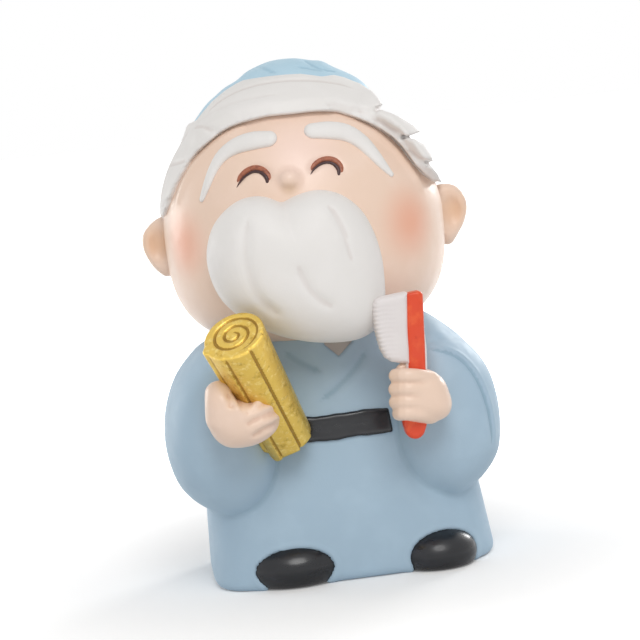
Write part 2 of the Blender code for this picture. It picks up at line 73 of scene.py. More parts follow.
# Robe
ROBE_HALF_WIDTHS = ([0, 15, 30, 40, 50], [28.1, 26.9, 21.6, 19.5, 15.0])
ROBE_HALF_DEPTHS = ([0, 15, 30, 40, 50], [19.4, 19.0, 17.3, 16.0, 14.0])
ROBE_SHIFTS = ([0, 15, 30], [0.5, -0.2, 0.0])
HEM_POWER_LEFT, HEM_POWER_RIGHT, WAIST_POWER = 5.0, 3.3, 2.5
BELT_MIDDLE, BELT_HALF, BELT_PROUD = 29.7, 2.45, 0.7

# Radius of the scroll at its upper and lower end, and how far in front the toothbrush is
SCROLL_HEAD_RADIUS, SCROLL_FOOT_RADIUS = 5.75, 4.7
BRUSH_DEPTH = -28.5


def camera_axes():
    """Camera place, view direction towards it, and its right and up, in millimetres."""
    toward = np.array([
        math.sin(CAMERA_AZIMUTH) * math.cos(CAMERA_ELEVATION),
        -math.cos(CAMERA_AZIMUTH) * math.cos(CAMERA_ELEVATION),
        math.sin(CAMERA_ELEVATION),
    ])
    level = np.array([math.cos(CAMERA_AZIMUTH), math.sin(CAMERA_AZIMUTH), 0.0])
    upright = np.cross(toward, level)
    right = math.cos(CAMERA_ROLL) * level - math.sin(CAMERA_ROLL) * upright
    up = math.sin(CAMERA_ROLL) * level + math.cos(CAMERA_ROLL) * upright
    focal = LENS_MM / SENSOR_MM * PHOTO_PIXELS
    shift = (ORIGIN_PIXEL - PHOTO_PIXELS / 2) * CAMERA_DISTANCE / focal
    place = -shift[0] * right + shift[1] * up + CAMERA_DISTANCE * toward
    return place, toward, right, up, focal


CAMERA_PLACE, CAMERA_TOWARD, CAMERA_RIGHT, CAMERA_UP, FOCAL_PIXELS = camera_axes()


def add_camera():
    turn = Matrix((CAMERA_RIGHT, CAMERA_UP, CAMERA_TOWARD)).transposed().to_4x4()
    data = bpy.data.cameras.new("photo_camera")
    data.lens = LENS_MM
    data.sensor_width = SENSOR_MM
    data.sensor_fit = "HORIZONTAL"
    data.clip_start = 0.01
    camera = bpy.data.objects.new("photo_camera", data)
    camera.matrix_world = Matrix.Translation(Vector(CAMERA_PLACE * METRES)) @ turn
    bpy.context.scene.collection.objects.link(camera)
    bpy.context.scene.camera = camera


def rays(pixels):
    pixels = np.atleast_2d(np.asarray(pixels, float))
    across = (pixels[:, :1] - PHOTO_PIXELS / 2) / FOCAL_PIXELS
    upward = (PHOTO_PIXELS / 2 - pixels[:, 1:2]) / FOCAL_PIXELS
    d = across * CAMERA_RIGHT + upward * CAMERA_UP - CAMERA_TOWARD
    return d / np.linalg.norm(d, axis=1, keepdims=True)


def at_depth(pixels, y):
    """The points that pixels of the photograph show, at a distance y from the middle."""
    d = rays(pixels)
    return CAMERA_PLACE + (np.asarray(y) - CAMERA_PLACE[1]).reshape(-1, 1) / d[:, 1:2] * d


def shown_at(p):
    """The pixels of the photograph that points fall on."""
    v = p - CAMERA_PLACE
    depth = -(v @ CAMERA_TOWARD)
    across = PHOTO_PIXELS / 2 + FOCAL_PIXELS * (v @ CAMERA_RIGHT) / depth
    down = PHOTO_PIXELS / 2 - FOCAL_PIXELS * (v @ CAMERA_UP) / depth
    return np.stack([across, down], 1)


SEARCH_START, SEARCH_ROUNDS, SEARCH_SHARE, SEARCH_STEPS = 60.0, 70, 0.7, (-2.0, 6.0)


def on_surface(field, pixels, lift=0.0):
    """The points of a field's surface that pixels show, or the nearest ones at its outline."""
    d = rays(pixels)
    t = np.full((len(d), 1), CAMERA_DISTANCE - SEARCH_START)
    best_t, best = t.copy(), np.full((len(d), 1), 1e9)
    for _ in range(SEARCH_ROUNDS):
        gap = field(CAMERA_PLACE + t * d)[:, None] - lift
        closer = np.abs(gap) < best
        best = np.where(closer, np.abs(gap), best)
        best_t = np.where(closer, t, best_t)
        t = t + np.clip(gap * SEARCH_SHARE, *SEARCH_STEPS)
    return CAMERA_PLACE + best_t * d


# Fields: each takes points (n, 3) and gives how far outside the shape they lie

def smooth_min(a, b, k):
    h = np.clip(1 - np.abs(a - b) / k, 0, 1)
    return np.minimum(a, b) - h * h * k / 4


def smooth_max(a, b, k):
    return -smooth_min(-a, -b, k)


def ramp(value, low, high):
    """0 under low, 1 over high, and smooth between them."""
    t = np.clip((value - low) / (high - low), 0, 1)
    return t * t * (3 - 2 * t)


def bell(value, middle, reach):
    """1 at the middle, falling softly to 0 on both sides."""
    return np.exp(-((value - middle) / reach) ** 2)


def egg(p, centre, radii):
    q = p - np.asarray(centre)
    r = np.asarray(radii, float)
    k0 = np.linalg.norm(q / r, axis=1)
    k1 = np.linalg.norm(q / (r * r), axis=1)
    return k0 * (k0 - 1) / np.maximum(k1, 1e-6)


def radial(q, share):
    """Distance along the line from the middle, where share is 1 on the surface."""
    return np.linalg.norm(q, axis=1) * (1 - 1 / np.maximum(share, 1e-3))


def curve(points, count=24):
    """A smooth line through points of any width, with count steps."""
    points = np.asarray(points, float)
    ends = np.vstack([2 * points[0] - points[1], points, 2 * points[-1] - points[-2]])
    out = []
    for t in np.linspace(0, len(points) - 1 - 1e-9, count):
        i = int(t)
        f = t - i
        a, b, c, d = ends[i:i + 4]
        out.append(0.5 * (2 * b + (c - a) * f + (2 * a - 5 * b + 4 * c - d) * f * f
                          + (3 * b - a - 3 * c + d) * f**3))
    return np.array(out)


def closed_curve(points, count=180):
    """A smooth closed line through points."""
    ring = np.vstack([points[-2:], points, points[:2]])
    start, end = 2 / (len(ring) - 1), (len(points) + 2) / (len(ring) - 1)
    whole = curve(ring, int(count / end) + 1)
    ticks = np.linspace(0, 1, len(whole))
    return whole[(ticks >= start) & (ticks < end)]


def sweep(p, path, radii, flat=1.0, normals=None, margin=4.0):
    """A tube through path whose radius changes, thinned by flat along each normal."""
    path = np.asarray(path, float)
    radii = np.broadcast_to(np.asarray(radii, float), len(path))
    reach = radii.max() + margin
    near = ((p > path.min(0) - reach) & (p < path.max(0) + reach)).all(1)
    out = np.full(len(p), margin)
    q = p[near]
    best = np.full(len(q), margin)
    for i in range(len(path) - 1):
        a, b = path[i], path[i + 1]
        along = b - a
        t = np.clip((q - a) @ along / max(along @ along, 1e-9), 0, 1)
        v = q - a - t[:, None] * along
        if normals is not None:
            n = normals[i]
            v = v + np.outer(v @ n, n) * (1 / flat - 1)
        r = radii[i] + t * (radii[i + 1] - radii[i])
        d = np.linalg.norm(v, axis=1) - r
        best = np.minimum(best, np.where(d < 0, d * flat, d) if normals is not None else d)
    out[near] = best
    return out


def groove(p, path, width, depth):
    """What to add to a field to cut a soft line into it, or to raise it where depth is negative."""
    share = np.linspace(0, 1, len(path))
    fade = np.clip(1 - np.minimum(share, 1 - share) / 0.2, 0, 1)
    d = sweep(p, path, -2.2 * width * fade**2, margin=width * 3)
    return depth * bell(np.maximum(d, 0), 0, width)


def scored(d, p, lines):
    """A field with lines cut into it, each a path with its width and depth."""
    for path, width, depth in lines:
        d = d + groove(p, path, width, depth)
    return d


def traced(field, lines):
    """Lines over a field's surface, each given as pixels, a number of steps, a width and a depth."""
    return [(curve(on_surface(field, line), steps), width, depth) for line, steps, width, depth in lines]


def pillow(p, pixels, y, shape):
    """A round body whose outline in the front view goes through pixels of the photograph.

    Its shape is its reach forward and back, how square it is and how much its outline is smoothed.
    """
    front, back, power, soften = shape
    flat = closed_curve(at_depth(pixels, y)[:, [0, 2]])
    middle = (flat.min(0) + flat.max(0)) / 2
    v = flat - middle
    angles = np.arctan2(v[:, 1], v[:, 0])
    order = np.argsort(angles)
    ticks = np.linspace(-math.pi, math.pi, 721)[:-1]
    radii = np.interp(ticks, angles[order], np.hypot(v[:, 0], v[:, 1])[order], period=2 * math.pi)
    reach = np.arange(-3 * soften, 3 * soften + 1)
    weights = np.exp(-(reach / soften) ** 2 / 2)
    spread = sum(w * np.roll(radii, s) for s, w in zip(reach, weights)) / weights.sum()
    q = p - (middle[0], y, middle[1])
    x, y, z = q.T
    edge = np.interp(np.arctan2(z, x), ticks, spread, period=2 * math.pi)
    half = np.where(y < 0, front, back)
    return radial(q, ((np.hypot(x, z) / edge) ** power + np.abs(y / half) ** power) ** (1 / power))


def line_gap(q, flat):
    """Distance of flat points to an open line."""
    flat = np.asarray(flat, float)
    nearest = np.full(len(q), 1e9)
    for a, b in zip(flat[:-1], flat[1:]):
        e = b - a
        w = q - a
        t = np.clip(w @ e / (e @ e), 0, 1)
        nearest = np.minimum(nearest, ((w - t[:, None] * e) ** 2).sum(1))
    return np.sqrt(nearest)


def outline_distance(q, flat):
    """Distance of flat points to a closed line, below 0 inside it."""
    ring = np.vstack([flat, flat[:1]]).astype(float)
    inside = np.zeros(len(q), bool)
    for a, b in zip(ring[:-1], ring[1:]):
        if a[1] != b[1]:
            spans = (a[1] <= q[:, 1]) != (b[1] <= q[:, 1])
            crossing = a[0] + (q[:, 1] - a[1]) / (b[1] - a[1]) * (b[0] - a[0])
            inside ^= spans & (q[:, 0] < crossing)
    return np.where(inside, -1, 1) * line_gap(q, ring)


# Meshes from fields

EDGES = [(a, b) for a in range(8) for b in range(8) if a < b and (a ^ b) in (1, 2, 4)]
BLOCK = 4
SAFETY = 1.7
MOST_POINTS = 150000
SLOPE_REACH, CREASE_REACH, CREASE_SCALE = 0.06, 0.7, 1.2
SETTLING_ROUNDS = 3


def sampled(field, low, high, step):
    """The field on a grid, exact near the surface and by blocks far from it."""
    count = [int(math.ceil((h - l) / step / BLOCK)) * BLOCK for l, h in zip(low, high)]
    fine = [l + step * np.arange(n) for l, n in zip(low, count)]
    coarse = [l + step * ((BLOCK - 1) / 2 + BLOCK * np.arange(n // BLOCK)) for l, n in zip(low, count)]
    rough = field(np.stack(np.meshgrid(*coarse, indexing="ij"), -1).reshape(-1, 3))
    rough = rough.reshape([len(c) for c in coarse])
    reach = SAFETY * step * ((BLOCK - 1) / 2 * math.sqrt(3) + 1.8)
    grid = rough
    for axis in range(3):
        grid = np.repeat(grid, BLOCK, axis)
    near = np.abs(grid) < reach
    index = np.nonzero(near)
    points = np.stack([fine[a][index[a]] for a in range(3)], 1)
    values = [field(part) for part in np.array_split(points, max(1, len(points) // MOST_POINTS))]
    grid[near] = np.concatenate(values)
    return grid


def gradient(field, p, h=SLOPE_REACH):
    """Slope of the field at points."""
    slope = np.zeros_like(p)
    for axis in range(3):
        e = np.zeros(3)
        e[axis] = h
        slope[:, axis] = (field(p + e) - field(p - e)) / (2 * h)
    return slope


def hollow(field, p, h=CREASE_REACH):
    """Near 1 in a crease of the surface, 0 where it is flat or bulges."""
    total = -6 * field(p)
    for axis in range(3):
        e = np.zeros(3)
        e[axis] = h
        total += field(p + e) + field(p - e)
    return np.clip(-total / h / CREASE_SCALE, 0, 1)


def skin_over(field, low, high, step):
    """Points and four-sided faces over the field's surface, one point in each cell it crosses."""
    low = np.asarray(low, float) - 2 * step
    high = np.asarray(high, float) + 3 * step
    grid = sampled(field, low, high, step)
    inside = grid < 0
    n = np.array(grid.shape) - 1
    corners = [np.s_[i:i + n[0], j:j + n[1], k:k + n[2]] for i in (0, 1) for j in (0, 1) for k in (0, 1)]
    total = sum(inside[c].astype(np.int8) for c in corners)
    cells = np.nonzero((total > 0) & (total < 8))
    number = np.full(n, -1)
    number[cells] = np.arange(len(cells[0]))
    offsets = np.array([(i, j, k) for i in (0, 1) for j in (0, 1) for k in (0, 1)])
    base = np.stack(cells, 1)
    values = [grid[tuple((base + o).T)] for o in offsets]
    place, hits = np.zeros((len(base), 3)), np.zeros(len(base))
    for a, b in EDGES:
        cross = (values[a] < 0) != (values[b] < 0)
        t = np.where(cross, values[a] / np.where(cross, values[a] - values[b], 1), 0)
        place += np.where(cross[:, None], offsets[a] + t[:, None] * (offsets[b] - offsets[a]), 0)
        hits += cross
    points = low + step * (base + place / hits[:, None])
    faces = []
    for axis in range(3):
        u, v = (axis + 1) % 3, (axis + 2) % 3
        first = [slice(None)] * 3
        second = [slice(None)] * 3
        first[axis], second[axis] = slice(0, -1), slice(1, None)
        cut = inside[tuple(first)] != inside[tuple(second)]
        i = np.stack(np.nonzero(cut), 1)
        i = i[((i[:, u] > 0) & (i[:, v] > 0) & (i[:, u] < n[u]) & (i[:, v] < n[v]))]
        du, dv = np.eye(3, dtype=int)[u], np.eye(3, dtype=int)[v]
        ring = [i - du - dv, i - dv, i, i - du]
        quad = np.stack([number[tuple(r.T)] for r in ring], 1)
        outward = inside[tuple(i.T)]
        quad[~outward] = quad[~outward][:, ::-1]
        faces.append(quad)
    for _ in range(SETTLING_ROUNDS):
        slope = gradient(field, points)
        size = np.maximum((slope * slope).sum(1), 0.2)
        move = field(points)[:, None] * slope / size[:, None]
        points -= np.clip(move, -step / 2, step / 2)
    return points, np.concatenate(faces)


def piece(name, field, low, high, step, material):
    """One painted area as an object that rides on the statue's body."""
    points, faces = skin_over(field, low, high, step * STEP)
    points[:, 2] = np.maximum(points[:, 2], 0.0)
    # How far each point lies in a crease, kept on the mesh so the paints can lay painted shade in the creases
    crease = hollow(field, points)
    mesh = bpy.data.meshes.new(name)
    mesh.from_pydata((points * METRES).tolist(), [], faces.tolist())
    mesh.validate()
    mesh.polygons.foreach_set("use_smooth", np.ones(len(mesh.polygons), bool))
    layer = mesh.attributes.new("crease", "FLOAT", "POINT")
    layer.data.foreach_set("value", crease[:len(mesh.vertices)].astype(np.float32))
    mesh.materials.append(material)
    thing = bpy.data.objects.new(name, mesh)
    bpy.context.scene.collection.objects.link(thing)
    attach(thing, "root")
    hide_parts("statue")
    return thing


# Head

def head(p):
    """A ball that is squarer below its middle and slopes more on its right side above it."""
    q = p - HEAD_CENTRE
    right = ramp(q[:, 0], -10, 14)
    wide = HEAD_LEFT + (HEAD_RIGHT - HEAD_LEFT) * right
    above = q[:, 2] > 0
    crown = HEAD_POWER_LEFT + (HEAD_POWER_RIGHT - HEAD_POWER_LEFT) * right
    power = np.where(above, crown, HEAD_POWER_BELOW)
    reach = np.where(above, HEAD_ABOVE, HEAD_BELOW)
    flat = np.hypot(q[:, 0] / wide, q[:, 1] / HEAD_HALF_DEPTH)
    share = (flat**power + np.abs(q[:, 2] / reach) ** power) ** (1 / power)
    return radial(q, share)


NOSE_PIXEL, NOSE_RADII, NOSE_JOIN = (289.5, 179.5), (1.95, 1.9, 1.75), 1.1
NOSE_SINK = np.array([0.0, 0.25, 0.0])
EYE_ARCS = [
    [(236.3, 187.8), (239.5, 178.8), (246, 171.8), (254.5, 168.4), (262.5, 170), (268, 175.5),
     (269.3, 180.8)],
    [(309.8, 174.8), (313, 166.8), (319.5, 161.3), (328, 159.4), (335.5, 161.6), (340.3, 167.3),
     (340.8, 173.5)],
]
EYE_STEPS, EYE_GROOVE, EYE_LIFT, EYE_SHADE_LIFT = 16, (0.75, 0.7), -0.68, -0.12
EYE_RADII = [0.26, 0.52, 0.62, 0.66, 0.68, 0.66, 0.54]
# Painted shade: a thin dark line in the deep of each eye groove, along the lower side of the crescent
EYE_SHADE_LINES = [
    [(236.3, 189.2), (240.3, 181.5), (246.5, 175.2), (254.5, 171.4), (261.8, 173), (266.3, 177.6),
     (267.3, 181.8)],
    [(309.8, 176), (314, 169.2), (320.3, 164.2), (328, 162.3), (334.6, 164.8), (338.4, 169.8),
     (338.6, 174.3)],
]
EYE_SHADE_RADII = [0.1, 0.18, 0.22, 0.25, 0.32, 0.38, 0.3]
BROWS = [
    [(268, 139, 1.75), (252, 141, 2.0), (236, 146, 1.85), (222, 156, 1.5), (213, 170, 1.15),
     (207, 185, 0.95), (202, 199, 0.6)],
    [(313, 131, 1.75), (330, 130.5, 2.05), (346, 133, 2.05), (360, 141, 1.85), (371, 151.5, 1.55),
     (381, 163, 1.15), (391, 174, 0.6)],
]
EARS = [
    [(172, 217), (162, 216.5), (151.5, 223), (143, 235), (143.5, 249), (150.5, 263), (159.5, 272.5),
     (169, 276), (181, 262), (184, 235)],
    [(430, 190), (440, 184), (452, 184.5), (461.5, 191), (466.3, 204), (464.5, 219), (458.5, 232),
     (450, 244), (440, 240), (428, 212)],
]
EAR_DEPTH, EAR_SHAPE, EAR_JOIN = 4.0, (2.6, 2.8, 2.6, 3), 0.9
EAR_DISHES = [(157, 244), (453, 210)]
DISH_RADII, DISH_FORWARD, DISH_ROUNDING = (2.5, 2.2, 4.2), 3.2, 1.3
SKIN_LIPS = [
    ([(340, 119), (354, 123.5), (368, 130), (383, 140), (396, 152), (407, 166), (418, 181), (426, 194)],
     18, 1.1, -0.5),
    ([(254, 125), (238, 130), (222, 139), (207, 151.5), (195, 165), (186, 180), (179, 197), (173, 213)],
     18, 1.1, -0.5),
]
BROW_FLAT, BROW_LIFT = 0.62, 0.1
FAR = 4.0


def eye_paths(shape, lift):
    return [curve(on_surface(head, pixels, lift), EYE_STEPS) for pixels in shape]


def face(p):
    """The head with nose, ears and the hollows that the closed eyes are painted in."""
    d = smooth_min(head(p), egg(p, NOSE_TIP, NOSE_RADII), NOSE_JOIN)
    for pixels, dish_pixel in zip(EARS, EAR_DISHES):
        ear = pillow(p, pixels, EAR_DEPTH, EAR_SHAPE)
        dish = egg(p, at_depth(dish_pixel, EAR_DEPTH - DISH_FORWARD)[0], DISH_RADII)
        d = smooth_min(d, smooth_max(ear, -dish, DISH_ROUNDING), EAR_JOIN)
    return scored(scored(d, p, EYE_HOLLOWS), p, LIPS)


NOSE_TIP = on_surface(head, NOSE_PIXEL)[0] + NOSE_SINK
EYE_HOLLOWS = [(path, *EYE_GROOVE) for path in eye_paths(EYE_ARCS, 0.0)]
LIPS = traced(head, SKIN_LIPS)


def brow_field(p):
    d = np.full(len(p), FAR)
    for brow in BROWS:
        path = on_surface(head, brow, BROW_LIFT)
        line = curve(np.column_stack([path, np.array(brow)[:, 2]]), 22)
        normals = [v / np.linalg.norm(v) for v in line[:, :3] - HEAD_CENTRE]
        d = np.minimum(d, sweep(p, line[:, :3], line[:, 3], BROW_FLAT, normals))
    return d


def painted_arcs(p, shape, lift, radii):
    d = np.full(len(p), FAR)
    for path in eye_paths(shape, lift):
        d = np.minimum(d, sweep(p, path, curve(np.array(radii)[:, None], len(path))[:, 0]))
    return d


def eye_field(p):
    """The painted crescent in each eye hollow."""
    return painted_arcs(p, EYE_ARCS, EYE_LIFT, EYE_RADII)


def eye_shade_field(p):
    """The thin dark line along the lower side of each crescent: painted shade in the deep of the eye groove.
    """
    return painted_arcs(p, EYE_SHADE_LINES, EYE_SHADE_LIFT, EYE_SHADE_RADII)


# Hair. In front its outline is the photograph's, with the tips of three locks and of the front band
# at the right, and behind it is a layer on the head that ends at the nape

HAIRLINE = [
    (163.5, 215), (168, 203), (172, 193), (178, 180), (184, 170), (190, 160), (197, 151.5), (205, 144.5),
    (213, 138), (221, 131.5), (231, 126), (243, 121.5), (265, 116), (280, 114.3), (292, 113.2),
    (305, 111.5), (317, 110.5), (328, 110.5), (337, 111), (352, 115.5), (367, 121.5), (382, 129.5),
    (393, 137), (402, 146), (409, 155.5), (416, 165), (425, 174), (433.5, 180.5),
]
LOCK_TIPS = [
    (441.5, 182.0), (437.5, 173.5), (430.5, 166), (422.4, 161.6), (428, 162), (433, 161), (431, 152.5),
    (425, 144.5), (415, 139), (403.4, 137), (412.5, 134.8), (420.5, 131.8), (414, 125.5), (402, 118),
    (390, 112.5), (377.8, 109), (380.5, 107), (382.5, 104.7), (378, 97.5),
]
HAIR_TOP = [
    (372, 91), (360, 83.5), (345, 77), (334, 74.8), (322, 76.5), (310, 74.8), (300, 73.7), (285, 74.5),
    (270, 76), (255, 78), (243, 80), (236, 83.5), (225, 90.5), (212, 101.5), (203, 112), (197, 120),
]
HAIR_LEFT = [(180, 128), (160, 150), (148, 190), (146, 216)]
HAIR_OUTLINE = HAIRLINE + LOCK_TIPS + HAIR_TOP + HAIR_LEFT
PIXEL_MM = 0.19
HAIR_CREASES = [
    ([(203, 119), (214, 105), (230, 94), (250, 86), (275, 81), (300, 79.5), (325, 81), (345, 85),
      (362, 91.5)], 14, 0.6, 0.45),
    ([(176, 150), (188, 131), (205, 116), (228, 104), (255, 97), (285, 94)], 14, 1.1, 0.25),
    ([(192, 128), (201, 126), (210, 129.5), (219, 131.5)], 14, 0.5, 0.5),
    ([(168, 166), (176, 163), (187, 160)], 14, 0.5, 0.5),
    ([(161, 206), (166, 203), (172, 198.5)], 14, 0.45, 0.4),
    ([(392, 104), (384, 107), (376, 109.5), (364, 111.5), (350, 111), (336, 107), (322, 104)], 14, 0.6, 0.75),
    ([(418, 137.5), (409, 137), (401, 135.5), (391, 130), (380, 123.5), (369, 119)], 14, 0.6, 0.7),
    ([(436, 163), (428, 162.3), (421, 160.5), (413, 155), (405, 148.5)], 14, 0.6, 0.6),
]
HAIRLINE_LIFT = 0.5
NAPE_ANGLES = [100, 115, 135, 160, 180]
NAPE_RISES = [3.0, -5.0, -12.5, -15.5, -16.0]
BACK_LOCKS = [112, 127, 144, 162, 180, -162, -144, -127, -112]
LOCK_RADII, LOCK_LIFTS = (3.0, 4.0, 3.6, 0.9), (-0.5, -0.2, -0.1, -0.2)
LOCK_FLAT, LOCK_THINNEST, LOCK_LEAN = 0.42, 0.15, 5
SIDE_ANGLE = 120
WIDEST, HALVINGS = 40.0, 22

# How far the hair stands over the head in each area, and where across, behind or above the head's
# middle the area begins and ends
SIDE_LEAST, SIDE_MORE, SIDE_RISE, SIDE_BACK = -0.05, 0.9, (-2, 9), (5, 12)
CROWN_PROUD, CROWN_RISE, CROWN_LEFT = 1.8, (9, 23), (-23.5, -19.5)
TIPS_PROUD, TIPS_RIGHT, TIPS_BACK = 4.3, (11, 19), (-10, -1)
SINK, SINK_RIGHT, SINK_BACK = 1.7, (9, 17), (1, 9)
BAND_INWARD, CROWN_EDGE, TIPS_EDGE = (0, 2.8), 0.45, 0.3
FRONT_END, END_SLOPE, END_ROUNDING = 9.0, 0.8, 2.5
FRONT_ROUNDING, BACK_ROUNDING, LAYER_JOIN, LOCK_JOIN = 0.5, 1.2, 0.8, 0.4
NOTCH, NOTCH_MIDDLE, NOTCH_REACH = 0.8, 1, 9
WAVE, WAVE_COUNT, WAVE_TILT = 0.1, 9, 0.5
UNDERLAP, UNDERLAP_ROUNDING = 2.0, 0.6


def head_point(angle, rise, lift):
    """A point over the head at an angle round it and a rise over its middle."""
    a = math.radians(angle)
    way = np.array([math.sin(a), -math.cos(a)])
    low, high = 0.0, WIDEST
    for _ in range(HALVINGS):
        middle = (low + high) / 2
        point = HEAD_CENTRE + np.array([way[0] * middle, way[1] * middle, rise])
        if head(point[None])[0] < 0:
            low = middle
        else:
            high = middle
    out = point - HEAD_CENTRE
    return point + out / np.linalg.norm(out) * lift


def lock(corners):
    """A flattened tress over the head, through corners given as angle and rise."""
    row = curve(np.column_stack([corners, LOCK_RADII, LOCK_LIFTS]), 14)
    path = np.array([head_point(a, r, lift) for a, r, _, lift in row])
    normals = [v / np.linalg.norm(v) for v in path - HEAD_CENTRE]
    return path, np.maximum(row[:, 2], LOCK_THINNEST), normals


def hairline_table():
    """The hairline as rises over the middle of the head at angles round it."""
    points = on_surface(head, HAIRLINE, HAIRLINE_LIFT) - HEAD_CENTRE
    front = np.degrees(np.arctan2(points[:, 0], -points[:, 1]))
    angles = np.concatenate([front, NAPE_ANGLES, [-a for a in NAPE_ANGLES]])
    rises = np.concatenate([points[:, 2], NAPE_RISES, NAPE_RISES])
    order = np.argsort(angles)
    return angles[order], rises[order]


HAIRLINE_ANGLES, HAIRLINE_RISES = hairline_table()


def side_proud(q):
    """How far the hair stands over the head: thin beside the ears, thicker behind and above."""
    return SIDE_LEAST + SIDE_MORE * np.maximum(ramp(q[:, 2], *SIDE_RISE), ramp(q[:, 1], *SIDE_BACK))


def front_hair(p):
    q = p - HEAD_CENTRE
    seen = shown_at(p)
    crown = ramp(q[:, 2], *CROWN_RISE) * ramp(q[:, 0], *CROWN_LEFT)
    right = ramp(q[:, 0], *TIPS_RIGHT) * ramp(-q[:, 1], *TIPS_BACK)
    edge = outline_distance(seen, HAIR_OUTLINE) * PIXEL_MM
    inward = ramp(line_gap(seen, HAIRLINE) * PIXEL_MM, *BAND_INWARD)
    proud = side_proud(q) + CROWN_PROUD * crown * (CROWN_EDGE + (1 - CROWN_EDGE) * inward)
    proud += (TIPS_PROUD - CROWN_PROUD * crown) * right * (TIPS_EDGE + (1 - TIPS_EDGE) * inward)
    proud -= SINK * ramp(q[:, 0], *SINK_RIGHT) * ramp(q[:, 1], *SINK_BACK)
    d = smooth_max(head(p) - proud, edge, FRONT_ROUNDING)
    return smooth_max(d, (q[:, 1] - FRONT_END) * END_SLOPE, END_ROUNDING)


def back_hair(p):
    q = p - HEAD_CENTRE
    angle = np.degrees(np.arctan2(q[:, 0], -q[:, 1]))
    edge = np.interp(angle, HAIRLINE_ANGLES, HAIRLINE_RISES) - q[:, 2]
    notched = ramp(q[:, 0], *SINK_RIGHT) * bell(q[:, 1], NOTCH_MIDDLE, NOTCH_REACH)
    wave = WAVE * np.sin(np.radians(angle) * WAVE_COUNT + q[:, 2] * WAVE_TILT)
    return smooth_max(head(p) - side_proud(q) + NOTCH * notched + wave, edge * END_SLOPE, BACK_ROUNDING)


def hair_layer(p):
    return smooth_min(front_hair(p), back_hair(p), LAYER_JOIN)


def back_locks():
    """Tresses round the back of the head, those beside the ears higher and leaning more."""
    out = []
    for middle in BACK_LOCKS:
        lean = LOCK_LEAN if middle > 0 else -LOCK_LEAN
        drop = -3.0 * (1 - abs(middle) / 180)
        corners = [(middle - lean, 9), (middle, -1), (middle + lean * 0.6, -9), (middle + lean, -16.5 - drop)]
        if abs(middle) < SIDE_ANGLE:
            corners = [(middle - lean, 14), (middle, 7), (middle + lean, -1), (middle + 2 * lean, -9)]
        out.append(lock(corners))
    return out


def over_head(d, p):
    """Leaves out what lies deep in the head, under hair or cloth."""
    return smooth_max(d, -(head(p) + UNDERLAP), UNDERLAP_ROUNDING)


HAIR_LOCKS = back_locks()
HAIR_GROOVES = traced(hair_layer, HAIR_CREASES)


def hair(p):
    d = hair_layer(p)
    for path, radii, normals in HAIR_LOCKS:
        d = smooth_min(d, sweep(p, path, radii, LOCK_FLAT, normals), LOCK_JOIN)
    return over_head(scored(d, p, HAIR_GROOVES), p)


WRAP_OUTLINE = [
    (185, 150), (190, 130), (199.6, 114), (207, 104), (216, 95.5), (225, 87.5), (236.5, 80.5),
    (246, 72.2), (257.5, 66), (269.4, 61.3), (282.3, 59), (295, 58.3), (305, 59.5), (312, 60.5),
    (320.7, 60.8), (332, 66.5), (343.8, 71.5), (355, 77), (364, 84), (370, 91.5), (376, 102), (384, 118),
    (398, 150), (408, 190), (404, 240), (370, 285), (300, 305), (230, 285), (190, 240), (180, 190),
]
WRAP_DEPTH, WRAP_SHAPE = 4.0, (19.0, 22.3, 2.15, 2)
FOLD_PROUD, FOLD_COUNT, FOLD_BEHIND, FOLD_FADE = 0.28, 13, (2, 12), (-31, -20)
RIM_RISE, RIM_TILT, RIM_SLOPE, RIM_ROUNDING = 10.0, 0.5, 0.85, 1.4
WRAP_CREASES = [
    ([(303, 56.5), (308, 61.5), (316, 66), (326, 69), (340, 72)], 10, 0.7, 0.5),
    ([(255, 62), (262, 66.5), (269, 70), (277, 73)], 10, 0.8, 0.35),
    ([(296, 66.5), (310, 68), (326, 72)], 10, 0.7, 0.3),
]


def wrap_shape(p):
    """Cloth over the crown and the back of the head."""
    q = p - HEAD_CENTRE
    cloth = pillow(p, WRAP_OUTLINE, WRAP_DEPTH, WRAP_SHAPE)
    turn = np.arctan2(q[:, 0], q[:, 1] + 2.0)
    folds = np.sin(turn * FOLD_COUNT + 0.6 * np.sin(turn * 5))
    cloth = cloth + ramp(q[:, 1], *FOLD_BEHIND) * FOLD_PROUD * folds * ramp(-q[:, 2], *FOLD_FADE)
    rim = RIM_RISE - RIM_TILT * (q[:, 1] + WRAP_DEPTH) - q[:, 2]
    return smooth_max(cloth, rim * RIM_SLOPE, RIM_ROUNDING)


WRAP_GROOVES = traced(wrap_shape, WRAP_CREASES)


def hair_wrap(p):
    return over_head(scored(wrap_shape(p), p, WRAP_GROOVES), p)


# Beard

BEARD_OUTLINE = [
    (280, 201.5), (268, 197), (255, 196), (240, 200), (226, 210), (214, 225), (208, 243), (207, 262),
    (212, 282), (221, 299), (234, 312), (252, 324), (275, 334), (300, 340), (322, 342), (345, 341),
    (362, 337), (375, 328), (382.5, 313), (384.5, 295), (383.5, 275), (381, 256), (374, 233), (362, 211),
    (345, 196), (328, 189.5), (312, 189), (296, 193.5), (287, 198),
]
BEARD_DEPTH, BEARD_SHAPE = -22.0, (11.2, 14.0, 2.4, 4)
BEARD_GROOVES = [
    ([(250, 212), (246, 232), (245, 256), (249, 276), (257, 296), (272, 311), (286, 317)], 16, 1.2, 0.38),
    ([(297, 262), (302, 276), (311, 291), (323, 302), (338, 309)], 16, 1.0, 0.42),
    ([(325, 201), (334, 214), (343, 232), (349, 250), (354, 267)], 16, 0.7, 0.28),
    ([(331, 205), (342, 222), (350, 242)], 16, 0.5, 0.16),
]
CLEFT_PIXELS, CLEFT_DEPTH, CLEFT_GROOVE = [(279, 196), (281, 206), (285, 214)], -31.5, (2.0, 0.7)


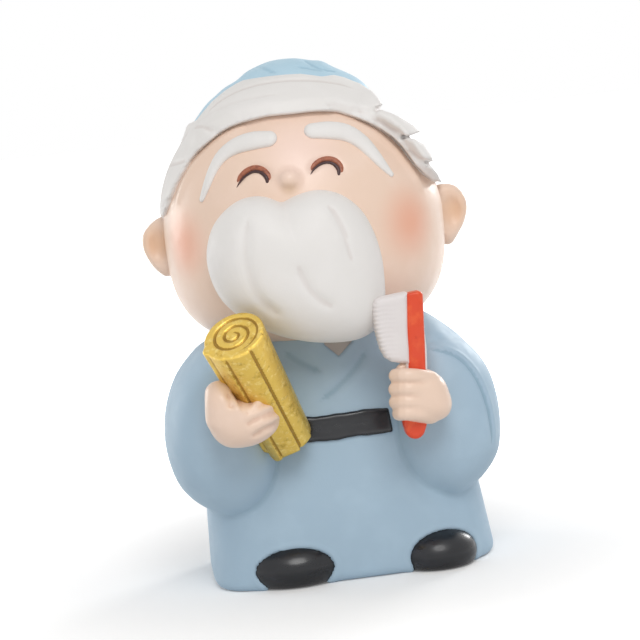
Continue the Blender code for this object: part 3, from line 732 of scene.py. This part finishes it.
def beard_shape(p):
    d = pillow(p, BEARD_OUTLINE, BEARD_DEPTH, BEARD_SHAPE)
    return d + groove(p, curve(at_depth(CLEFT_PIXELS, CLEFT_DEPTH), 8), *CLEFT_GROOVE)


BEARD_LINES = traced(beard_shape, BEARD_GROOVES)


def beard(p):
    return scored(beard_shape(p), p, BEARD_LINES)


# Robe

LEFT_SLEEVE = [
    (204, 344), (188, 360), (175, 380), (167, 405), (164.8, 428), (167, 452), (176, 477), (188, 492),
    (204, 503), (229, 513), (250, 509), (266, 496), (276, 475), (279, 450), (276, 420), (264, 385),
    (248, 355), (228, 338),
]
RIGHT_SLEEVE = [
    (422, 314), (441, 323), (460, 337), (476, 353), (486.5, 372), (493.5, 400), (495, 430), (491, 450),
    (479, 469), (465.5, 482), (448, 493), (428, 491.5), (409, 483), (394, 466), (385, 442), (383, 400),
    (389, 362), (399, 335), (408, 320),
]
SLEEVE_DEPTH, LEFT_SHAPE, RIGHT_SHAPE = -5.0, (17.6, 15.5, 2.9, 4), (17.2, 15.5, 2.9, 4)
ROBE_CREASES = [
    ([(422, 351), (438, 350), (454, 355), (468, 366), (480, 385), (488, 408), (492, 432), (490, 454)],
     18, 0.5, 0.42),
    ([(422, 348), (439, 347), (456, 352), (470, 363), (483, 383), (491, 407), (495, 432), (493, 456)],
     18, 0.6, -0.32),
    ([(368, 347), (360, 362), (349, 376), (334, 391), (316, 404)], 14, 0.9, 0.5),
    ([(282, 350), (294, 359), (308, 366), (324, 373)], 12, 0.9, 0.45),
    ([(428, 343), (439, 338.5), (456, 336.5), (470, 340)], 10, 1.1, 0.35),
]
COLLAR_V = at_depth([(320, 341), (354, 339.5), (338.5, 356)], -15.0)[:, [0, 2]]
COLLAR_DEPTH, COLLAR_SINK, COLLAR_MARGIN, COLLAR_THICK = 0.9, 0.35, 0.3, 2.5
SHOULDERS, SHOULDER_RADII, SHOULDER_JOIN = (-0.5, 1.5, 33.0), (27.5, 16.0, 15.5), 5.0
ROBE_TOP, HEM_ROUNDING, BAG_JOIN, CRISP_JOIN, JOIN_RISE, JOIN_REACH = 52.0, 2.0, 6.0, 0.9, 30, 12
OUTSIDE = 9.0
SHOES = [((-11.9, -15.0, 3.4), (9.1, 6.7, 5.3)), ((15.9, -15.0, 2.6), (7.5, 6.9, 5.1))]
SHOE_GAP, SHOE_LIP, LIP_MIDDLE, LIP_REACH = 0.2, 0.2, 0.55, 0.5


def robe_trunk(p):
    z = np.clip(p[:, 2], 0, 50)
    wide = np.interp(z, *ROBE_HALF_WIDTHS)
    deep = np.interp(z, *ROBE_HALF_DEPTHS)
    x = p[:, 0] - np.interp(z, *ROBE_SHIFTS)
    hem = HEM_POWER_LEFT + (HEM_POWER_RIGHT - HEM_POWER_LEFT) * ramp(x, -6, 6)
    power = hem + (WAIST_POWER - hem) * np.clip(z / BELT_MIDDLE, 0, 1)
    share = (np.abs(x / wide) ** power + np.abs(p[:, 1] / deep) ** power) ** (1 / power)
    return np.hypot(x, p[:, 1]) * (1 - 1 / np.maximum(share, 1e-3))


def chest(p):
    """The trunk with round shoulders, before sleeves and folds."""
    return smooth_min(robe_trunk(p), egg(p, SHOULDERS, SHOULDER_RADII), SHOULDER_JOIN)


def shoes(p):
    return np.minimum(*[egg(p, middle, radii) for middle, radii in SHOES])


def sleeves(p):
    left = pillow(p, LEFT_SLEEVE, SLEEVE_DEPTH, LEFT_SHAPE)
    return np.minimum(left, pillow(p, RIGHT_SLEEVE, SLEEVE_DEPTH, RIGHT_SHAPE))


def robe_shape(p):
    """Trunk and sleeves, joined softly at the shoulders and crisply below them."""
    bags = sleeves(p)
    upper = np.clip((p[:, 2] - JOIN_RISE) / JOIN_REACH, 0, 1)
    body = smooth_min(chest(p), bags, BAG_JOIN)
    crisp = smooth_min(chest(p), bags, CRISP_JOIN)
    d = smooth_max(crisp + (body - crisp) * upper, -p[:, 2], HEM_ROUNDING)
    return smooth_max(d, p[:, 2] - ROBE_TOP, HEM_ROUNDING)


def robe(p):
    d = scored(robe_shape(p), p, ROBE_LINES)
    d = smooth_max(d, -smooth_max(triangle(p, COLLAR_V), -(d + COLLAR_DEPTH), 0.3), 0.4)
    rim = shoes(p)
    d = d - SHOE_LIP * bell(rim, LIP_MIDDLE, LIP_REACH)
    return smooth_max(d, -(rim + SHOE_GAP), 0.3)


def triangle(p, corners):
    """Distance to a three-cornered prism that runs forward from the middle."""
    d = np.full(len(p), -OUTSIDE)
    middle = corners.mean(0)
    for a, b in zip(corners, np.roll(corners, -1, 0)):
        side = b - a
        n = np.array([side[1], -side[0]]) / np.linalg.norm(side)
        if n @ (middle - a) > 0:
            n = -n
        d = np.maximum(d, (p[:, [0, 2]] - a) @ n)
    return np.where(p[:, 1] < 0, d, OUTSIDE)


ROBE_LINES = traced(robe_shape, ROBE_CREASES)


def inner_collar(p):
    d = smooth_max(robe_shape(p) + COLLAR_SINK, triangle(p, COLLAR_V) - COLLAR_MARGIN, 0.3)
    return np.maximum(d, -(robe_shape(p) + COLLAR_THICK))


# The belt's ragged edge as height, count and start of each wave, its slow wave, and the end that
# shows in front, with a gap beyond it
BELT_RAGGED = [(0.07, 17, 0.0), (0.03, 41, 1.3)]
BELT_WAVE, BELT_WAVES, BELT_ROUNDING, BELT_UNDER = 0.1, 9, 0.7, 1.6
BELT_END = at_depth([(389, 405), (394.5, 434)], -18.5)[:, [0, 2]]
BELT_GAP, GAP_FRONT = 6.0, 6.0


def belt(p):
    angle = np.arctan2(p[:, 0], -p[:, 1])
    ragged = sum(height * np.sin(angle * count + start) for height, count, start in BELT_RAGGED)
    up = np.abs(p[:, 2] - BELT_MIDDLE - BELT_WAVE * np.sin(angle * BELT_WAVES)) - BELT_HALF + ragged
    d = smooth_max(chest(p) - BELT_PROUD, up, BELT_ROUNDING)
    d = smooth_max(d, -(chest(p) + BELT_UNDER), 0.4)
    slope = BELT_END[1] - BELT_END[0]
    n = np.array([slope[1], -slope[0]]) / math.hypot(*slope)
    beyond = (p[:, [0, 2]] - BELT_END[0]) @ (-n if n[0] < 0 else n)
    gap = np.maximum(np.maximum(-beyond, beyond - BELT_GAP), p[:, 1] + GAP_FRONT)
    return smooth_max(d, -gap, 0.5)


def shoe_field(p):
    return smooth_max(shoes(p), 0.05 - p[:, 2], 0.8)


# Hands, scroll and toothbrush

SCROLL_FOOT = at_depth((288.0, 437.0), -20.5)[0]
SCROLL_HEAD = at_depth((233.3, 335.0), -36.0)[0]
SCROLL_LENGTH = float(np.linalg.norm(SCROLL_HEAD - SCROLL_FOOT))
SCROLL_AXIS = (SCROLL_HEAD - SCROLL_FOOT) / SCROLL_LENGTH
SCROLL_SIDE = np.cross(SCROLL_AXIS, -CAMERA_TOWARD)
SCROLL_SIDE /= np.linalg.norm(SCROLL_SIDE)
SCROLL_FRONT = np.cross(SCROLL_SIDE, SCROLL_AXIS)

# Edges of the sheet, as an angle and a height, with the dip before each
SHEET_EDGES = [(math.radians(-56), 0.32), (math.radians(-14), 0.34), (math.radians(36), 0.2)]
SHEET_FADE, DIP, DIP_ANGLE, DIP_REACH = 0.5, 0.7, 6.22, 0.06
LOOSE_CORNER, LOOSE_ANGLE, LOOSE_REACH, LOOSE_FROM = 2.0, math.radians(60), 0.5, (2.5, 4.0)
COIL_PITCH, COIL_START, COIL_DEPTH, COIL_WIDTH = 1.9, 0.35, 0.5, 0.27
COIL_RING, COIL_HEART, COIL_FADE, COIL_REACH = 0.9, 0.5, 0.4, 0.8
FLAP_RADIUS, FLAP_IN, FLAP_BACK, FLAP_JOIN = 1.0, 0.35, 0.6, 0.4


def scroll(p):
    """A rolled sheet: u runs to the viewer's left, v away from the viewer, w up the roll."""
    q = p - SCROLL_FOOT
    u, v, w = q @ SCROLL_SIDE, q @ SCROLL_FRONT, q @ SCROLL_AXIS
    r = np.hypot(u, v)
    angle = np.arctan2(u, -v)
    along = np.clip(w / SCROLL_LENGTH, 0, 1)
    full = SCROLL_FOOT_RADIUS + (SCROLL_HEAD_RADIUS - SCROLL_FOOT_RADIUS) * along
    radius = full.copy()
    for start, height in SHEET_EDGES:
        after = np.mod(angle - start, 2 * math.pi)
        radius += height * (np.exp(-after / SHEET_FADE) - DIP * bell(after, DIP_ANGLE, DIP_REACH))
    side = r - radius
    hanging = LOOSE_CORNER * bell(angle, LOOSE_ANGLE, LOOSE_REACH) * ramp(r, *LOOSE_FROM)
    ends = np.maximum(-w - hanging, w - SCROLL_LENGTH)
    pitch = COIL_PITCH * full / SCROLL_HEAD_RADIUS
    coil = np.mod(r / pitch - angle / (2 * math.pi) + COIL_START, 1.0)
    coil = np.minimum(coil, 1 - coil) * pitch
    cut = COIL_DEPTH * bell(coil, 0, COIL_WIDTH)
    cut *= np.clip((full - COIL_RING - r) / COIL_FADE, 0, 1) * np.clip((r - COIL_HEART) / COIL_FADE, 0, 1)
    d = smooth_max(side, ends, 0.5) + cut * bell(ends, 0, COIL_REACH) * (side < -COIL_FADE)
    lip = np.abs(w - SCROLL_LENGTH / 2) - SCROLL_LENGTH / 2
    flap = smooth_max(np.hypot(u - full + FLAP_IN, v + FLAP_BACK) - FLAP_RADIUS, lip, FLAP_JOIN)
    return smooth_min(d, flap, FLAP_JOIN)


LEFT_PALM = [
    (206, 389), (214, 384), (222, 386), (231, 391), (236, 397), (250, 398.5), (258, 393.5), (265.5, 393),
    (270.5, 399), (276, 406), (279.5, 415), (279.5, 422), (274.5, 431), (265, 439), (253, 444.5),
    (238, 447), (225, 445.5), (214, 437), (207.5, 423), (205, 405),
]
LEFT_HAND_DEPTH, LEFT_HAND_SHAPE = -29.0, (6.6, 6.5, 2.5, 3)
LEFT_THUMB, LEFT_THUMB_RADIUS = [(219, 418), (218.5, 405), (219.5, 392.5)], 2.2
LEFT_THUMB_DEPTHS = [-32.0, -32.4, -31.6]
LEFT_CREASES = [
    ([(281, 396.5), (274, 398), (268.5, 400), (260, 404.5), (252, 410), (245, 416)], 10, 0.7, 0.9),
    ([(290, 409.5), (283, 410.3), (276, 412), (266, 415.5), (254, 421), (244, 427)], 10, 0.7, 0.9),
    ([(291, 422.5), (284, 422.8), (277, 424.5), (268, 429), (259, 434), (250, 438)], 10, 0.7, 0.9),
    ([(229, 393), (231, 400), (231.5, 408)], 10, 0.7, 0.9),
]


def left_mass(p):
    d = pillow(p, LEFT_PALM, LEFT_HAND_DEPTH, LEFT_HAND_SHAPE)
    thumb = at_depth(LEFT_THUMB, LEFT_THUMB_DEPTHS)
    return smooth_min(d, sweep(p, curve(thumb, 8), LEFT_THUMB_RADIUS), 1.6)


LEFT_LINES = traced(left_mass, LEFT_CREASES)


def left_hand(p):
    return scored(left_mass(p), p, LEFT_LINES)


RIGHT_BACK = [
    (402, 371), (409, 368), (425.5, 369), (436, 373), (443.5, 380), (448, 390), (451, 401), (449.5, 410),
    (445, 416), (437, 420), (425.5, 423), (408, 421.5), (397, 417), (393.5, 400), (393.5, 383),
]
RIGHT_HAND_DEPTH, RIGHT_HAND_SHAPE = -27.0, (5.6, 6.0, 2.6, 3)
FINGER_ROWS = [375.8, 389.2, 402.2, 413.4]
FINGER_TIPS = [396.0, 395.6, 396.2, 399.5]
FINGER_BENDS = [(405, -0.3), (417, 0.2), (431, 2.5)]
FINGER_DEPTHS, FINGER_RADIUS = [-30.0, -31.5, -31.3, -29.6], 1.36
THUMB = [(398, 374), (402, 367.5), (408, 367)]
THUMB_DEPTHS, THUMB_RADIUS = [-28.5, -29.0, -28.0], 0.85


def right_hand(p):
    d = pillow(p, RIGHT_BACK, RIGHT_HAND_DEPTH, RIGHT_HAND_SHAPE)
    for row, tip in zip(FINGER_ROWS, FINGER_TIPS):
        bends = [(tip, row)] + [(across, row + down) for across, down in FINGER_BENDS]
        line = at_depth(bends, FINGER_DEPTHS)
        d = smooth_min(d, sweep(p, curve(line, 9), FINGER_RADIUS), 0.6)
    tip = at_depth(THUMB, THUMB_DEPTHS)
    return smooth_min(d, sweep(p, curve(tip, 6), THUMB_RADIUS), 0.4)


BRUSH_MIDDLE = [(413.5, 294), (414, 320), (415, 345), (415.5, 370), (415, 400), (414.5, 418), (414.5, 428)]
HANDLE_THICK, HANDLE_TOP = 1.7, (414, 291.3)
BRUSH_HALVES = [1.62, 1.72, 1.75, 1.8, 2.05, 2.3, 1.9]
BRISTLES = [
    (374, 299.5), (378, 297.5), (391, 294.5), (404, 291.8), (406.5, 292), (407, 330), (408.5, 350),
    (409, 363), (401, 362.8), (391, 361.3), (384.5, 357.5), (380, 350), (377, 340), (374, 328),
    (372.3, 315), (372, 305),
]
BRISTLES_LEFT, BLOCK_THICK, BLOCK_ROUNDING = (372, 320), 2.2, 1.4
ROW_HEIGHT, ROW_PITCH, ROWS_END = 0.05, 0.82, (-54.0, -52.5)
EDGE_THICKS, EDGE_HALF = (1.82, 1.5), 0.32
WHITE_EDGES = [
    [(404.6, 294), (405.2, 320), (406, 345), (406.6, 369)],
    [(422.3, 300), (423, 320), (424.2, 345), (425, 369)],
]


def ribbon(p, pixels, halves, depth, thick):
    """A flat bar through pixels of the photograph, with a half width at each of them."""
    line = curve(np.column_stack([at_depth(pixels, depth), halves]), 24)
    q = p.copy()
    q[:, 1] = depth
    line[:, 1] = depth
    side = sweep(q, line[:, :3], line[:, 3], margin=6.0)
    return smooth_max(side, np.abs(p[:, 1] - depth) - thick, 0.9)


def brush_handle(p):
    """The flat handle, its top end cut level with one corner taken off."""
    d = ribbon(p, BRUSH_MIDDLE, BRUSH_HALVES, BRUSH_DEPTH, HANDLE_THICK)
    start = at_depth(HANDLE_TOP, BRUSH_DEPTH)[0]
    side, up = p[:, 0] - start[0], p[:, 2] - start[2]
    return smooth_max(smooth_max(d, up - 0.08 * side, 0.5), (up + side) * 0.7 - 0.75, 0.4)


def bristles(p):
    """A block scored in rows at its outer side, and the white edges along the handle."""
    outline = at_depth(BRISTLES, BRUSH_DEPTH)[:, [0, 2]]
    side = outline_distance(p[:, [0, 2]], outline)
    d = smooth_max(side, np.abs(p[:, 1] - BRUSH_DEPTH) - BLOCK_THICK, BLOCK_ROUNDING)
    left = at_depth(BRISTLES_LEFT, BRUSH_DEPTH)[0, 0]
    fade = np.clip(1.15 - (p[:, 0] - left) / 5.0, 0.0, 1)
    rows = np.sin(p[:, 2] * 2 * math.pi / ROW_PITCH + 0.5 * np.sin(p[:, 0] * 2))
    d = d + ROW_HEIGHT * fade * rows * ramp(-p[:, 2], *ROWS_END)
    for path, thick in zip(WHITE_EDGES, EDGE_THICKS):
        d = np.minimum(d, ribbon(p, path, [EDGE_HALF] * len(path), BRUSH_DEPTH, thick))
    return d


# Materials

# The colour sockets of a mix node, by their number among its inputs and outputs
MIX_A, MIX_B, MIX_RESULT = 6, 7, 2


def linear(*rgb):
    """A colour given as 0 to 255 numbers on screen, as the shader needs it."""
    out = []
    for c in rgb:
        c = c / 255
        out.append(c / 12.92 if c <= 0.04045 else ((c + 0.055) / 1.055) ** 2.4)
    return (*out, 1.0)


def fill(node, values):
    """Sets inputs of a node by their names."""
    for name, value in values.items():
        node.inputs[name].default_value = value
    return node


class Tree:
    """The small part of a node tree that the world and the paints share."""

    def __init__(self, nodes, links):
        self.nodes = nodes
        self.links = links

    def node(self, kind, values):
        return fill(self.nodes.new("ShaderNode" + kind), values)

    def math(self, operation, a, b):
        node = self.node("Math", {})
        node.operation = operation
        self.links.new(a, node.inputs[0])
        self.links.new(b, node.inputs[1])
        return node.outputs["Value"]


class Paint(Tree):
    """A node material that starts from one paint colour."""

    def __init__(self, name, colour, roughness, specular=0.4, metallic=0.0):
        self.material = bpy.data.materials.new(name)
        self.material.use_nodes = True
        super().__init__(self.material.node_tree.nodes, self.material.node_tree.links)
        finish = {"Roughness": roughness, "Specular IOR Level": specular, "Metallic": metallic}
        self.shader = fill(self.nodes["Principled BSDF"], finish)
        self.place = self.nodes.new("ShaderNodeTexCoord").outputs["Object"]
        self.colour = colour
        self.height = None

    def noise(self, scale_mm, detail=3.0, rough=0.55, stretch=(1, 1, 1)):
        """A noise pattern whose grain is about scale_mm wide."""
        shape = self.node("Mapping", {"Scale": stretch})
        self.links.new(self.place, shape.inputs["Vector"])
        n = self.node("TexNoise", {"Scale": 1 / (scale_mm * METRES), "Detail": detail, "Roughness": rough})
        self.links.new(shape.outputs["Vector"], n.inputs["Vector"])
        return n.outputs["Fac"]

    def ranged(self, value, low, high, to_low=0.0, to_high=1.0):
        r = self.node("MapRange", {"From Min": low, "From Max": high, "To Min": to_low, "To Max": to_high})
        r.interpolation_type = "SMOOTHSTEP"
        self.links.new(value, r.inputs["Value"])
        return r.outputs["Result"]

    # Mask of the creases from the crease measure, used to lay painted shade
    def crease(self, low=0.05, high=0.7, most=1.0):
        a = self.node("Attribute", {})
        a.attribute_name = "crease"
        return self.ranged(a.outputs["Fac"], low, high, 0.0, most)

    def near(self, point, radius_mm, most=1.0):
        """1 at a point of the statue, falling to 0 at a radius from it."""
        move = self.node("Mapping", {"Location": [-c * METRES for c in point]})
        self.links.new(self.place, move.inputs["Vector"])
        length = self.node("VectorMath", {})
        length.operation = "LENGTH"
        self.links.new(move.outputs["Vector"], length.inputs[0])
        return self.ranged(length.outputs["Value"], 0.0, radius_mm * METRES, most, 0.0)

    def tint(self, colour, factor):
        """Lays a colour over what is there, as far as factor says."""
        mix = self.node("Mix", {})
        mix.data_type = "RGBA"
        self.links.new(factor, mix.inputs["Factor"])
        self.lay(self.colour, mix.inputs[MIX_A])
        mix.inputs[MIX_B].default_value = colour
        self.colour = mix.outputs[MIX_RESULT]

    def lay(self, colour, place):
        """Gives an input a plain colour, or the output that makes one."""
        if isinstance(colour, tuple):
            place.default_value = colour
        else:
            self.links.new(colour, place)

    def clouds(self, colour, grain, low, high, most):
        """Lays a colour over the places where a noise pattern is high."""
        self.tint(linear(*colour), self.ranged(self.noise(*grain), low, high, 0.0, most))

    def coat(self, weight, roughness):
        fill(self.shader, {"Coat Weight": weight, "Coat Roughness": roughness})

    def bump(self, value, depth_mm):
        b = self.node("Bump", {"Strength": 1.0, "Distance": depth_mm * METRES})
        self.links.new(value, b.inputs["Height"])
        if self.height is not None:
            self.links.new(self.height, b.inputs["Normal"])
        self.height = b.outputs["Normal"]

    def rough(self, value, low, high):
        self.links.new(self.ranged(value, 0.3, 0.7, low, high), self.shader.inputs["Roughness"])

    def done(self):
        self.lay(self.colour, self.shader.inputs["Base Color"])
        if self.height is not None:
            self.links.new(self.height, self.shader.inputs["Normal"])
        return self.material


def matte_paint(name, base, light, deep, grain=0.02, roughness=0.55, crease_shade_most=0.6):
    """Sprayed matte paint: clouded a little, darker in the creases as painted shade, with a faint grain."""
    paint = Paint(name, linear(*base), roughness)
    paint.clouds(light, (9.0,), 0.42, 0.72, 0.5)
    # Painted shade: the deep colour laid into the creases
    paint.tint(linear(*deep), paint.crease(0.05, 0.9, crease_shade_most))
    paint.rough(paint.noise(2.5), roughness - 0.05, roughness + 0.07)
    paint.bump(paint.noise(0.35, 2.0), grain)
    paint.bump(paint.noise(3.2, 2.0), grain * 2.5)
    return paint


# Painted highlight on the forehead, blush on the cheek on the photograph's right and on the one on its left,
# and painted shade under the nose:
# colour, place, radius and strength
BLUSH_AND_PAINTED_LIGHT = [
    ((245, 216, 205), (300, 150), 12.0, 0.6),
    ((234, 160, 128), (411, 222), 9.5, 0.72),
    ((236, 166, 136), (183, 244), 9.0, 0.8),
    ((206, 172, 132), (289.5, 187.5), 2.4, 0.5),
]


def skin_paint():
    # The third colour is painted shade for the creases
    paint = matte_paint("skin_paint", (236, 208, 188), (242, 217, 201), (212, 170, 145), 0.012, 0.46, 0.4)
    # Painted highlight, blush and painted shade laid over the skin
    for colour, pixel, radius, most in BLUSH_AND_PAINTED_LIGHT:
        paint.tint(linear(*colour), paint.near(on_surface(head, pixel)[0], radius, most))
    # Painted shade in the hollow of each ear
    for pixel in EAR_DISHES:
        paint.tint(linear(224, 176, 128), paint.near(at_depth(pixel, EAR_DEPTH - 2.0)[0], 5.0, 0.5))
    paint.coat(0.3, 0.25)
    return paint.done()


def gold_paint():
    paint = Paint("gold_paint", linear(224, 190, 92), 0.36, 0.5, 0.7)
    paint.clouds((246, 226, 152), (1.0, 6.0, 0.7), 0.5, 0.7, 0.7)
    paint.clouds((176, 138, 46), (1.9, 6.0, 0.7), 0.52, 0.7, 0.8)
    # Darker in the creases: painted shade
    paint.tint(linear(140, 100, 24), paint.crease(0.06, 0.6, 0.75))
    paint.rough(paint.noise(0.5, 3.0), 0.28, 0.5)
    paint.bump(paint.noise(0.4, 4.0, 0.7), 0.06)
    paint.bump(paint.noise(1.8, 3.0), 0.12)
    return paint.done()


def black_paint():
    paint = Paint("black_paint", linear(13, 15, 21), 0.22, 0.42)
    paint.clouds((34, 34, 42), (3.6, 4.0, 0.55, (0.45, 1, 1.4)), 0.5, 0.75, 0.7)
    paint.rough(paint.noise(2.2, 4.0, 0.6, (0.5, 1, 1.4)), 0.24, 0.46)
    paint.bump(paint.noise(1.4, 2.0, 0.5, (0.5, 1, 1.4)), 0.03)
    paint.coat(0.2, 0.12)
    return paint.done()


def brush_paint():
    paint = Paint("brush_paint", linear(222, 74, 40), 0.4)
    paint.clouds((234, 100, 54), (2.6, 4.0), 0.48, 0.7, 0.7)
    paint.clouds((205, 58, 30), (1.2, 4.0), 0.6, 0.8, 0.6)
    paint.rough(paint.noise(1.4), 0.32, 0.48)
    paint.bump(paint.noise(0.8, 3.0), 0.04)
    return paint.done()


def line_paint(name, base, light, grain, roughness, low, high, most):
    """Paint of the fine lines at the eyes: the brown crescents, and the painted shade in the deep of the eye
    grooves.
    """
    paint = Paint(name, linear(*base), roughness)
    paint.clouds(light, (grain, 3.0), low, high, most)
    paint.bump(paint.noise(0.4), 0.02)
    return paint.done()


def add_stage():
    """A pale floor that keeps the shadow and turns white away from the statue."""
    mesh = bpy.data.meshes.new("floor")
    low = node_low[2]
    corners = [(-1, -1), (1, -1), (1, 1), (-1, 1)]
    mesh.from_pydata([(x * FLOOR_HALF, y * FLOOR_HALF, low) for x, y in corners], [], [(0, 1, 2, 3)])
    floor = bpy.data.objects.new("floor", mesh)
    bpy.context.scene.collection.objects.link(floor)
    ground = Paint("floor", FLOOR_COLOUR, 0.8, 0.1)
    away = ground.near((0, 0, 0), FLOOR_SHADE_MM, 1.0)
    glow = ground.ranged(away, 0.0, 1.0, 1.0, FLOOR_GLOW)
    shown = ground.math("MULTIPLY", glow, seen_ray(ground))
    fill(ground.shader, {"Emission Color": WHITE})
    ground.links.new(shown, ground.shader.inputs["Emission Strength"])
    mesh.materials.append(ground.done())


def seen_ray(tree):
    """1 where the camera sees it, straight, mirrored or through glass."""
    path = tree.node("LightPath", {})
    seen = tree.math("MAXIMUM", path.outputs["Is Camera Ray"], path.outputs["Is Glossy Ray"])
    return tree.math("MAXIMUM", seen, path.outputs["Is Transmission Ray"])


def add_world():
    world = bpy.data.worlds.new("studio")
    world.use_nodes = True
    bpy.context.scene.world = world
    tree = Tree(world.node_tree.nodes, world.node_tree.links)
    back = fill(tree.nodes["Background"], {"Color": WHITE})
    strength = tree.node("MapRange", {"To Min": WORLD_LIGHT, "To Max": 1.0})
    tree.links.new(seen_ray(tree), strength.inputs["Value"])
    tree.links.new(strength.outputs["Result"], back.inputs["Strength"])


WHITE = (1, 1, 1, 1)
FLOOR_COLOUR = (0.88, 0.88, 0.88, 1)
FLOOR_HALF = 6.0
FLOOR_SHADE_MM = 200.0
FLOOR_GLOW = 0.12
WORLD_LIGHT = 0.51
LAMPS_AIM = (0, 0, 50)
LAMPS = [
    ("key", (20, -390, 400), 280, 1.12, (1.0, 0.995, 0.985)),
    ("rim", (270, 300, 170), 150, 0.6, (1.0, 1.0, 1.0)),
    ("left_edge", (-320, 240, 110), 150, 0.3, (1.0, 0.99, 0.97)),
]


def add_lamps():
    aim = Vector(LAMPS_AIM) * METRES
    for name, place, size, watts, colour in LAMPS:
        data = bpy.data.lights.new(name, "AREA")
        data.shape = "DISK"
        data.size = size * METRES
        data.energy = watts
        data.color = colour
        lamp = bpy.data.objects.new(name, data)
        lamp.location = Vector(place) * METRES
        lamp.rotation_euler = (lamp.location - aim).to_track_quat("Z", "Y").to_euler()
        bpy.context.scene.collection.objects.link(lamp)


def build_statue():
    skin = skin_paint()
    # The third colour of each matte paint is painted shade for its creases
    hair_white = matte_paint("hair_paint", (231, 228, 225), (236, 233, 231), (216, 208, 204), 0.015).done()
    blue = matte_paint("robe_paint", (166, 190, 208), (176, 200, 217), (134, 163, 181), 0.015).done()
    sky = matte_paint("wrap_paint", (182, 212, 228), (193, 221, 235), (150, 186, 206), 0.015).done()
    grey = matte_paint("collar_paint", (178, 171, 166), (188, 182, 177), (140, 132, 128), 0.02).done()
    white = matte_paint("bristle_paint", (226, 220, 219), (233, 228, 226), (200, 190, 188), 0.02).done()
    black = black_paint()
    brown = line_paint("eye_paint", (168, 102, 76), (120, 66, 50), 0.8, 0.4, 0.45, 0.7, 0.8)
    # Painted shade for the deep of the eye grooves
    dark = line_paint("eye_shade_paint", (62, 36, 38), (96, 60, 56), 0.7, 0.35, 0.5, 0.75, 0.7)
    piece("head", face, (-34, -28.5, 44.5), (31.5, 26, 96.5), 0.5, skin)
    piece("brows", brow_field, (-26, -29, 70), (20, -12, 92), 0.3, hair_white)
    piece("eyes", eye_field, (-20, -29, 72), (10, -18, 86), 0.16, brown)
    # The painted shade in the deep of the eye grooves
    piece("eye_groove_shade", eye_shade_field, (-20, -29, 72), (10, -18, 86), 0.12, dark)
    piece("hair", hair, (-32, -29, 47), (30, 29, 99), 0.45, hair_white)
    piece("hair_wrap", hair_wrap, (-30, -14, 66), (28, 29, 101), 0.45, sky)
    piece("beard", beard, (-24, -35, 40), (18, -5, 78), 0.42, hair_white)
    piece("robe", robe, (-35, -24, -1), (35, 20, 54), 0.5, blue)
    piece("inner_collar", inner_collar, (-6, -20, 38), (8, -8, 50), 0.25, grey)
    piece("belt", belt, (-25, -21, 26), (25, 20, 34), 0.35, black)
    piece("shoes", shoe_field, (-23, -23, 0), (25, -6, 10), 0.33, black)
    piece("scroll", scroll, (-31, -46, 20), (-2, -12, 60), 0.21, gold_paint())
    piece("scroll_hand", left_hand, (-30, -37, 26), (-9, -20, 46), 0.3, skin)
    piece("brush_hand", right_hand, (6, -34, 27), (24, -18, 44), 0.3, skin)
    piece("brush_handle", brush_handle, (7, -33, 24), (20, -25, 60), 0.25, brush_paint())
    piece("bristles", bristles, (2, -33, 38), (15, -24, 58), 0.2, white)


add_camera()
build_statue()
add_stage()
add_world()
add_lamps()
bpy.context.scene.view_settings.view_transform = "Standard"
